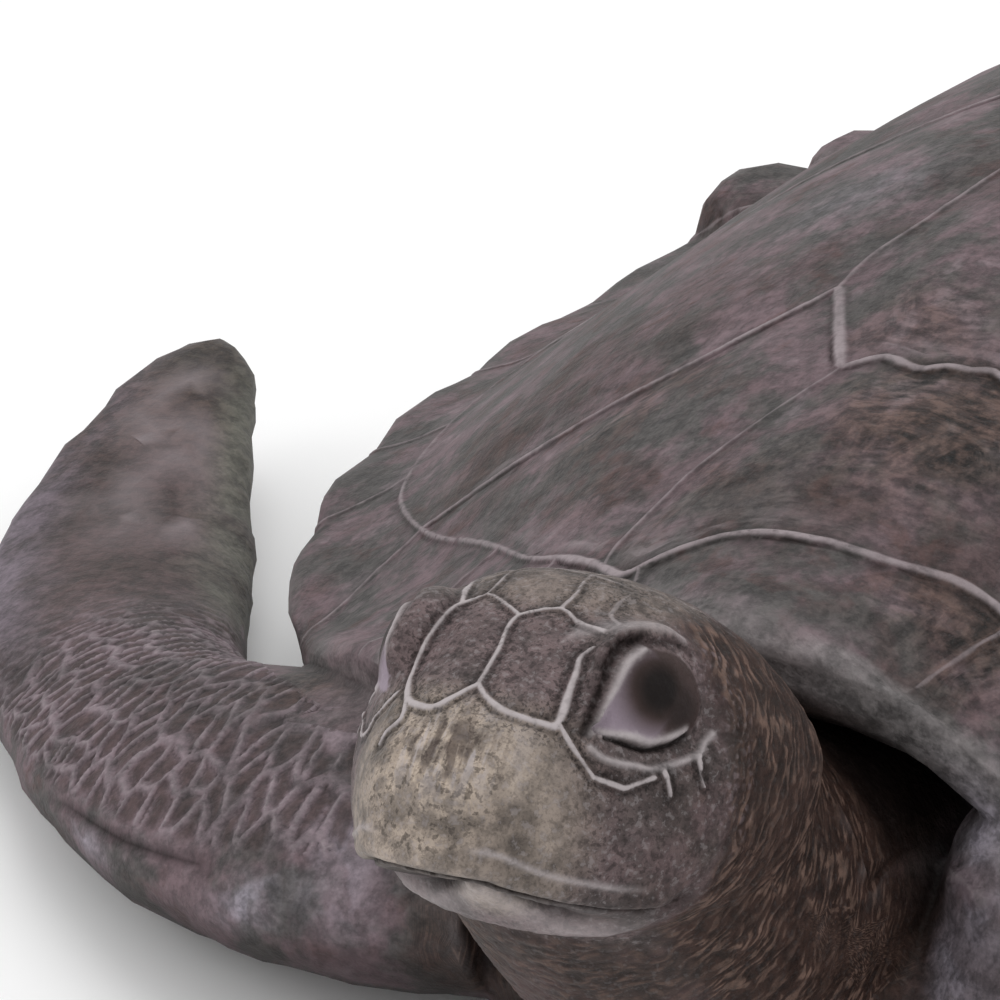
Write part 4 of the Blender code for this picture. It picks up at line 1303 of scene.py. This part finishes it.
# Dark crumbs, dots beside the head's seams and pale glints
CRUMBS = (
    ("dark", ("speck", 0.52, 0.62), ("head", 0.0, 1.0, 0.0, 0.6), ("smooth", 0.0, 1.0, 1.0, 0.3)),
    ("dark", ("grit", 0.50, 0.62), "dotted"),
    ("rub", ("speck", 0.46, 0.34), ("head", 0.0, 1.0, 0.04, 0.24)),
)
# Scratches, ridges, growth lines and seams, then the rubbed heights and the dark hollows of the relief, whose
# darkening is partly patina in the hollows and partly painted shade
LINES = (
    ("brown", "scored", ("scratches", 0.50, 0.40), 0.75),
    ("rub", "scored", ("scratches", 0.50, 0.58), 0.85),
    ("seam", "worm", 0.7),
    ("seam", "streak", "shell", ("rings", 0.40, 0.55, 0.3, 1.0)),
    ("on_seam", ("seam", 1.3, 0.4), "seam_strength", ("mottle", 0.3, 0.6, 0.6, 1.0)),
    ("rub", ("relief", 0.10, 1.0, 0.0, 0.30)),
    ("dark", ("relief", -0.08, -0.8, 0.0, 0.75)),
)
# The eyes, the rubbed lines with the painted highlight on each eyeball, and the deepest shadows, painted dark
WEAR = (
    ("eye", "lid"),
    ("rub", "rub", ("mottle", 0.3, 0.6, 0.7, 1.0)),
    ("dark", "deep"),
)
# Bumps finer than the mesh: the noise, the strength and the height in metres
BUMPS = (("mottle", 0.5, 0.0022), ("speck", 0.45, 0.0009), ("grit", 0.30, 0.0003))


def name_values(net):
    """Keeps by name the noises, the shared patterns and what is worked out from the masks."""
    place = net.add("ShaderNodeTexCoord").outputs["Object"]
    named = net.named
    for name, settings in NOISES.items():
        named[name] = net.noise(place, *settings)
    named.update(patterns(net))
    named["rings"] = net.noise(net.vector("ring_place"), 1.0)
    named["scratches"] = net.noise(net.combined("MULTIPLY", net.vector("head_flow"), (8, 30, 6)), 1.0)
    named["all_limb"] = net.math("ADD", "limb", "tips", clamp=True)
    named["in_folds"] = net.times("folded", ("patch", 0.40, 0.58, 0.30, 0.85))
    named["smooth"] = net.times("snout", ("sand", 0.5, 0.0))
    close_to_seam = net.times("head", ("seam", 9.0, 2.0, 0.0, 0.4))
    named["dotted"] = net.math("ADD", close_to_seam, ("head", 0.0, 1.0, 0.06, 0.25))
    named["scored"] = net.times("streak", "head")
    # The dark marks together with the painted shade of the hollow under the lip, laid on last as the deepest
    # shadows
    named["deep"] = net.times(net.largest("dark", "cavity"), ("speck", 0.3, 0.7, 0.8, 1.0))


def eye_colour(net, tones):
    """A pale eyeball with a dark iris, the ball painted darker towards its top and back as shade."""
    eye = net.vector("eye_place")
    ahead, up, _ = net.add("ShaderNodeSeparateXYZ", {0: eye}).outputs
    away, low = (net.combined("DISTANCE", eye, (*spot, 1), output="Value") for spot in (IRIS_AT, IRIS_LOW_AT))
    # Darker round the iris, and towards the ball's back and top as painted shade
    dim = net.largest((away, 0.135, 0.058), (ahead, 0.070, -0.005, 0.0, 0.98), (up, 0.03, 0.09, 0.0, 0.85))
    ball = net.mix(dim, tones["white"], net.mix(("mottle", 0.35, 0.6), tones["ring"], tones["brown"]))
    pupil = net.largest((away, 0.088, 0.030), (low, 0.080, 0.020, 0.0, 0.7))
    return net.mix(pupil, ball, tones["iris"])


def shading(net):
    """A grey that lightens and darkens the colour in blotches, specks and growth lines."""
    shade = net.math("ADD", ("blotch", 0.3, 0.7, 0.78, 1.22), ("mottle", 0.36, 0.64, -0.28, 0.28))
    shade = net.math("ADD", shade, ("speck", 0.36, 0.64, -0.16, 0.16))
    brushed = net.largest("stain", ("clouds", 0.46, 0.64, 0.05, 0.35))
    shade = net.math("ADD", shade, net.times("shell", brushed, ("rings", 0.36, 0.64, -0.55, 0.55)))
    return net.add("ShaderNodeCombineColor", {0: shade, 1: shade, 2: shade}).outputs[0]


def patina():
    made = bpy.data.materials.new("bronze_patina")
    made.use_nodes = True
    net = Nodes(made.node_tree)
    name_values(net)
    tones = {name: srgb(*value) for name, value in PATINA.items()}
    tones["stained"] = net.mix(("mottle", 0.40, 0.60), tones["brown"], tones["umber"])
    tones["on_seam"] = net.mix("head", tones["seam"], tones["rub"])
    tones["eye"] = eye_colour(net, tones)
    colour = net.mix(("blotch", 0.42, 0.58), tones["grey_green"], tones["mauve"])
    for layers in (GROUND, CRUMBS, LINES, WEAR):
        for tone, *shares in layers:
            colour = net.mix(net.times(*shares), colour, tones[tone])
        if layers is GROUND:
            colour = net.mix(1.0, colour, shading(net), "MULTIPLY")
    normal = None
    for noise_name, strength, height in BUMPS:
        inputs = {"Strength": strength, "Distance": height, "Height": net.named[noise_name]}
        if normal is not None:
            inputs["Normal"] = normal
        normal = net.add("ShaderNodeBump", inputs).outputs["Normal"]
    shader = made.node_tree.nodes["Principled BSDF"]
    shader.inputs["Metallic"].default_value = 0.05
    for name, socket in (("Base Color", colour), ("Normal", normal),
                         ("Roughness", net.ramp("mottle", 0.3, 0.7, 0.54, 0.66)),
                         ("Specular IOR Level", net.ramp("deep", 0.0, 1.0, 0.20, 0.05))):
        made.node_tree.links.new(socket, shader.inputs[name])
    return made


# The floor's width, how far below the casting it lies and its grey, and the strength of the even light
FLOOR_WIDTH = 30
FLOOR_GAP = 0.0004
FLOOR_GREY = 0.96
SKY_STRENGTH = 0.88
# Soft lights: name, place, width and power
LIGHTS = (
    ("overhead", (-0.4, 0.5, 2.6), 2.2, 16),
    ("front_left", (-1.6, -2.2, 2.0), 1.4, 10),
)
# The camera's angles round the turtle, its distance and aim, and its lens
VIEW_AZIMUTH, VIEW_ELEVATION = math.radians(31.713), math.radians(24.482)
VIEW_DISTANCE = 1.3205
VIEW_AIM = Vector((-0.0848, -0.4427, 0.2335))
VIEW_LENS = 144.0


def floor_and_light():
    bpy.ops.mesh.primitive_plane_add(size=FLOOR_WIDTH, location=(0, 0, -FLOOR_GAP))
    floor = bpy.context.object
    floor.name = "floor"
    paint = bpy.data.materials.new("floor_white")
    paint.use_nodes = True
    shader = paint.node_tree.nodes["Principled BSDF"]
    shader.inputs["Base Color"].default_value = (FLOOR_GREY, FLOOR_GREY, FLOOR_GREY, 1)
    shader.inputs["Roughness"].default_value = 0.9
    floor.data.materials.append(paint)
    world = bpy.data.worlds.new("studio")
    world.use_nodes = True
    sky = world.node_tree.nodes["Background"].inputs
    sky["Color"].default_value = (1, 1, 1, 1)
    sky["Strength"].default_value = SKY_STRENGTH
    bpy.context.scene.world = world
    for name, place, size, power in LIGHTS:
        lamp = bpy.data.lights.new(name, "AREA")
        lamp.shape = "DISK"
        lamp.size = size
        lamp.energy = power
        holder = placed(name, lamp)
        holder.location = place
        holder.rotation_euler = Vector(place).to_track_quat("Z", "Y").to_euler()


def camera():
    lens = bpy.data.cameras.new("camera")
    lens.sensor_width = 36
    lens.sensor_fit = "HORIZONTAL"
    lens.lens = VIEW_LENS
    lens.clip_start = 0.01
    lens.clip_end = 100
    holder = placed("camera", lens)
    back = Vector((math.sin(VIEW_AZIMUTH) * math.cos(VIEW_ELEVATION),
                   -math.cos(VIEW_AZIMUTH) * math.cos(VIEW_ELEVATION), math.sin(VIEW_ELEVATION)))
    holder.location = VIEW_AIM + VIEW_DISTANCE * back
    holder.rotation_euler = back.to_track_quat("Z", "Y").to_euler()
    bpy.context.scene.camera = holder


turtle = build_turtle()
turtle.data.materials.clear()
turtle.data.materials.append(patina())
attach(turtle, "root")
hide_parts("sea_turtle")
floor_and_light()
camera()
bpy.context.scene.view_settings.view_transform = "Standard"
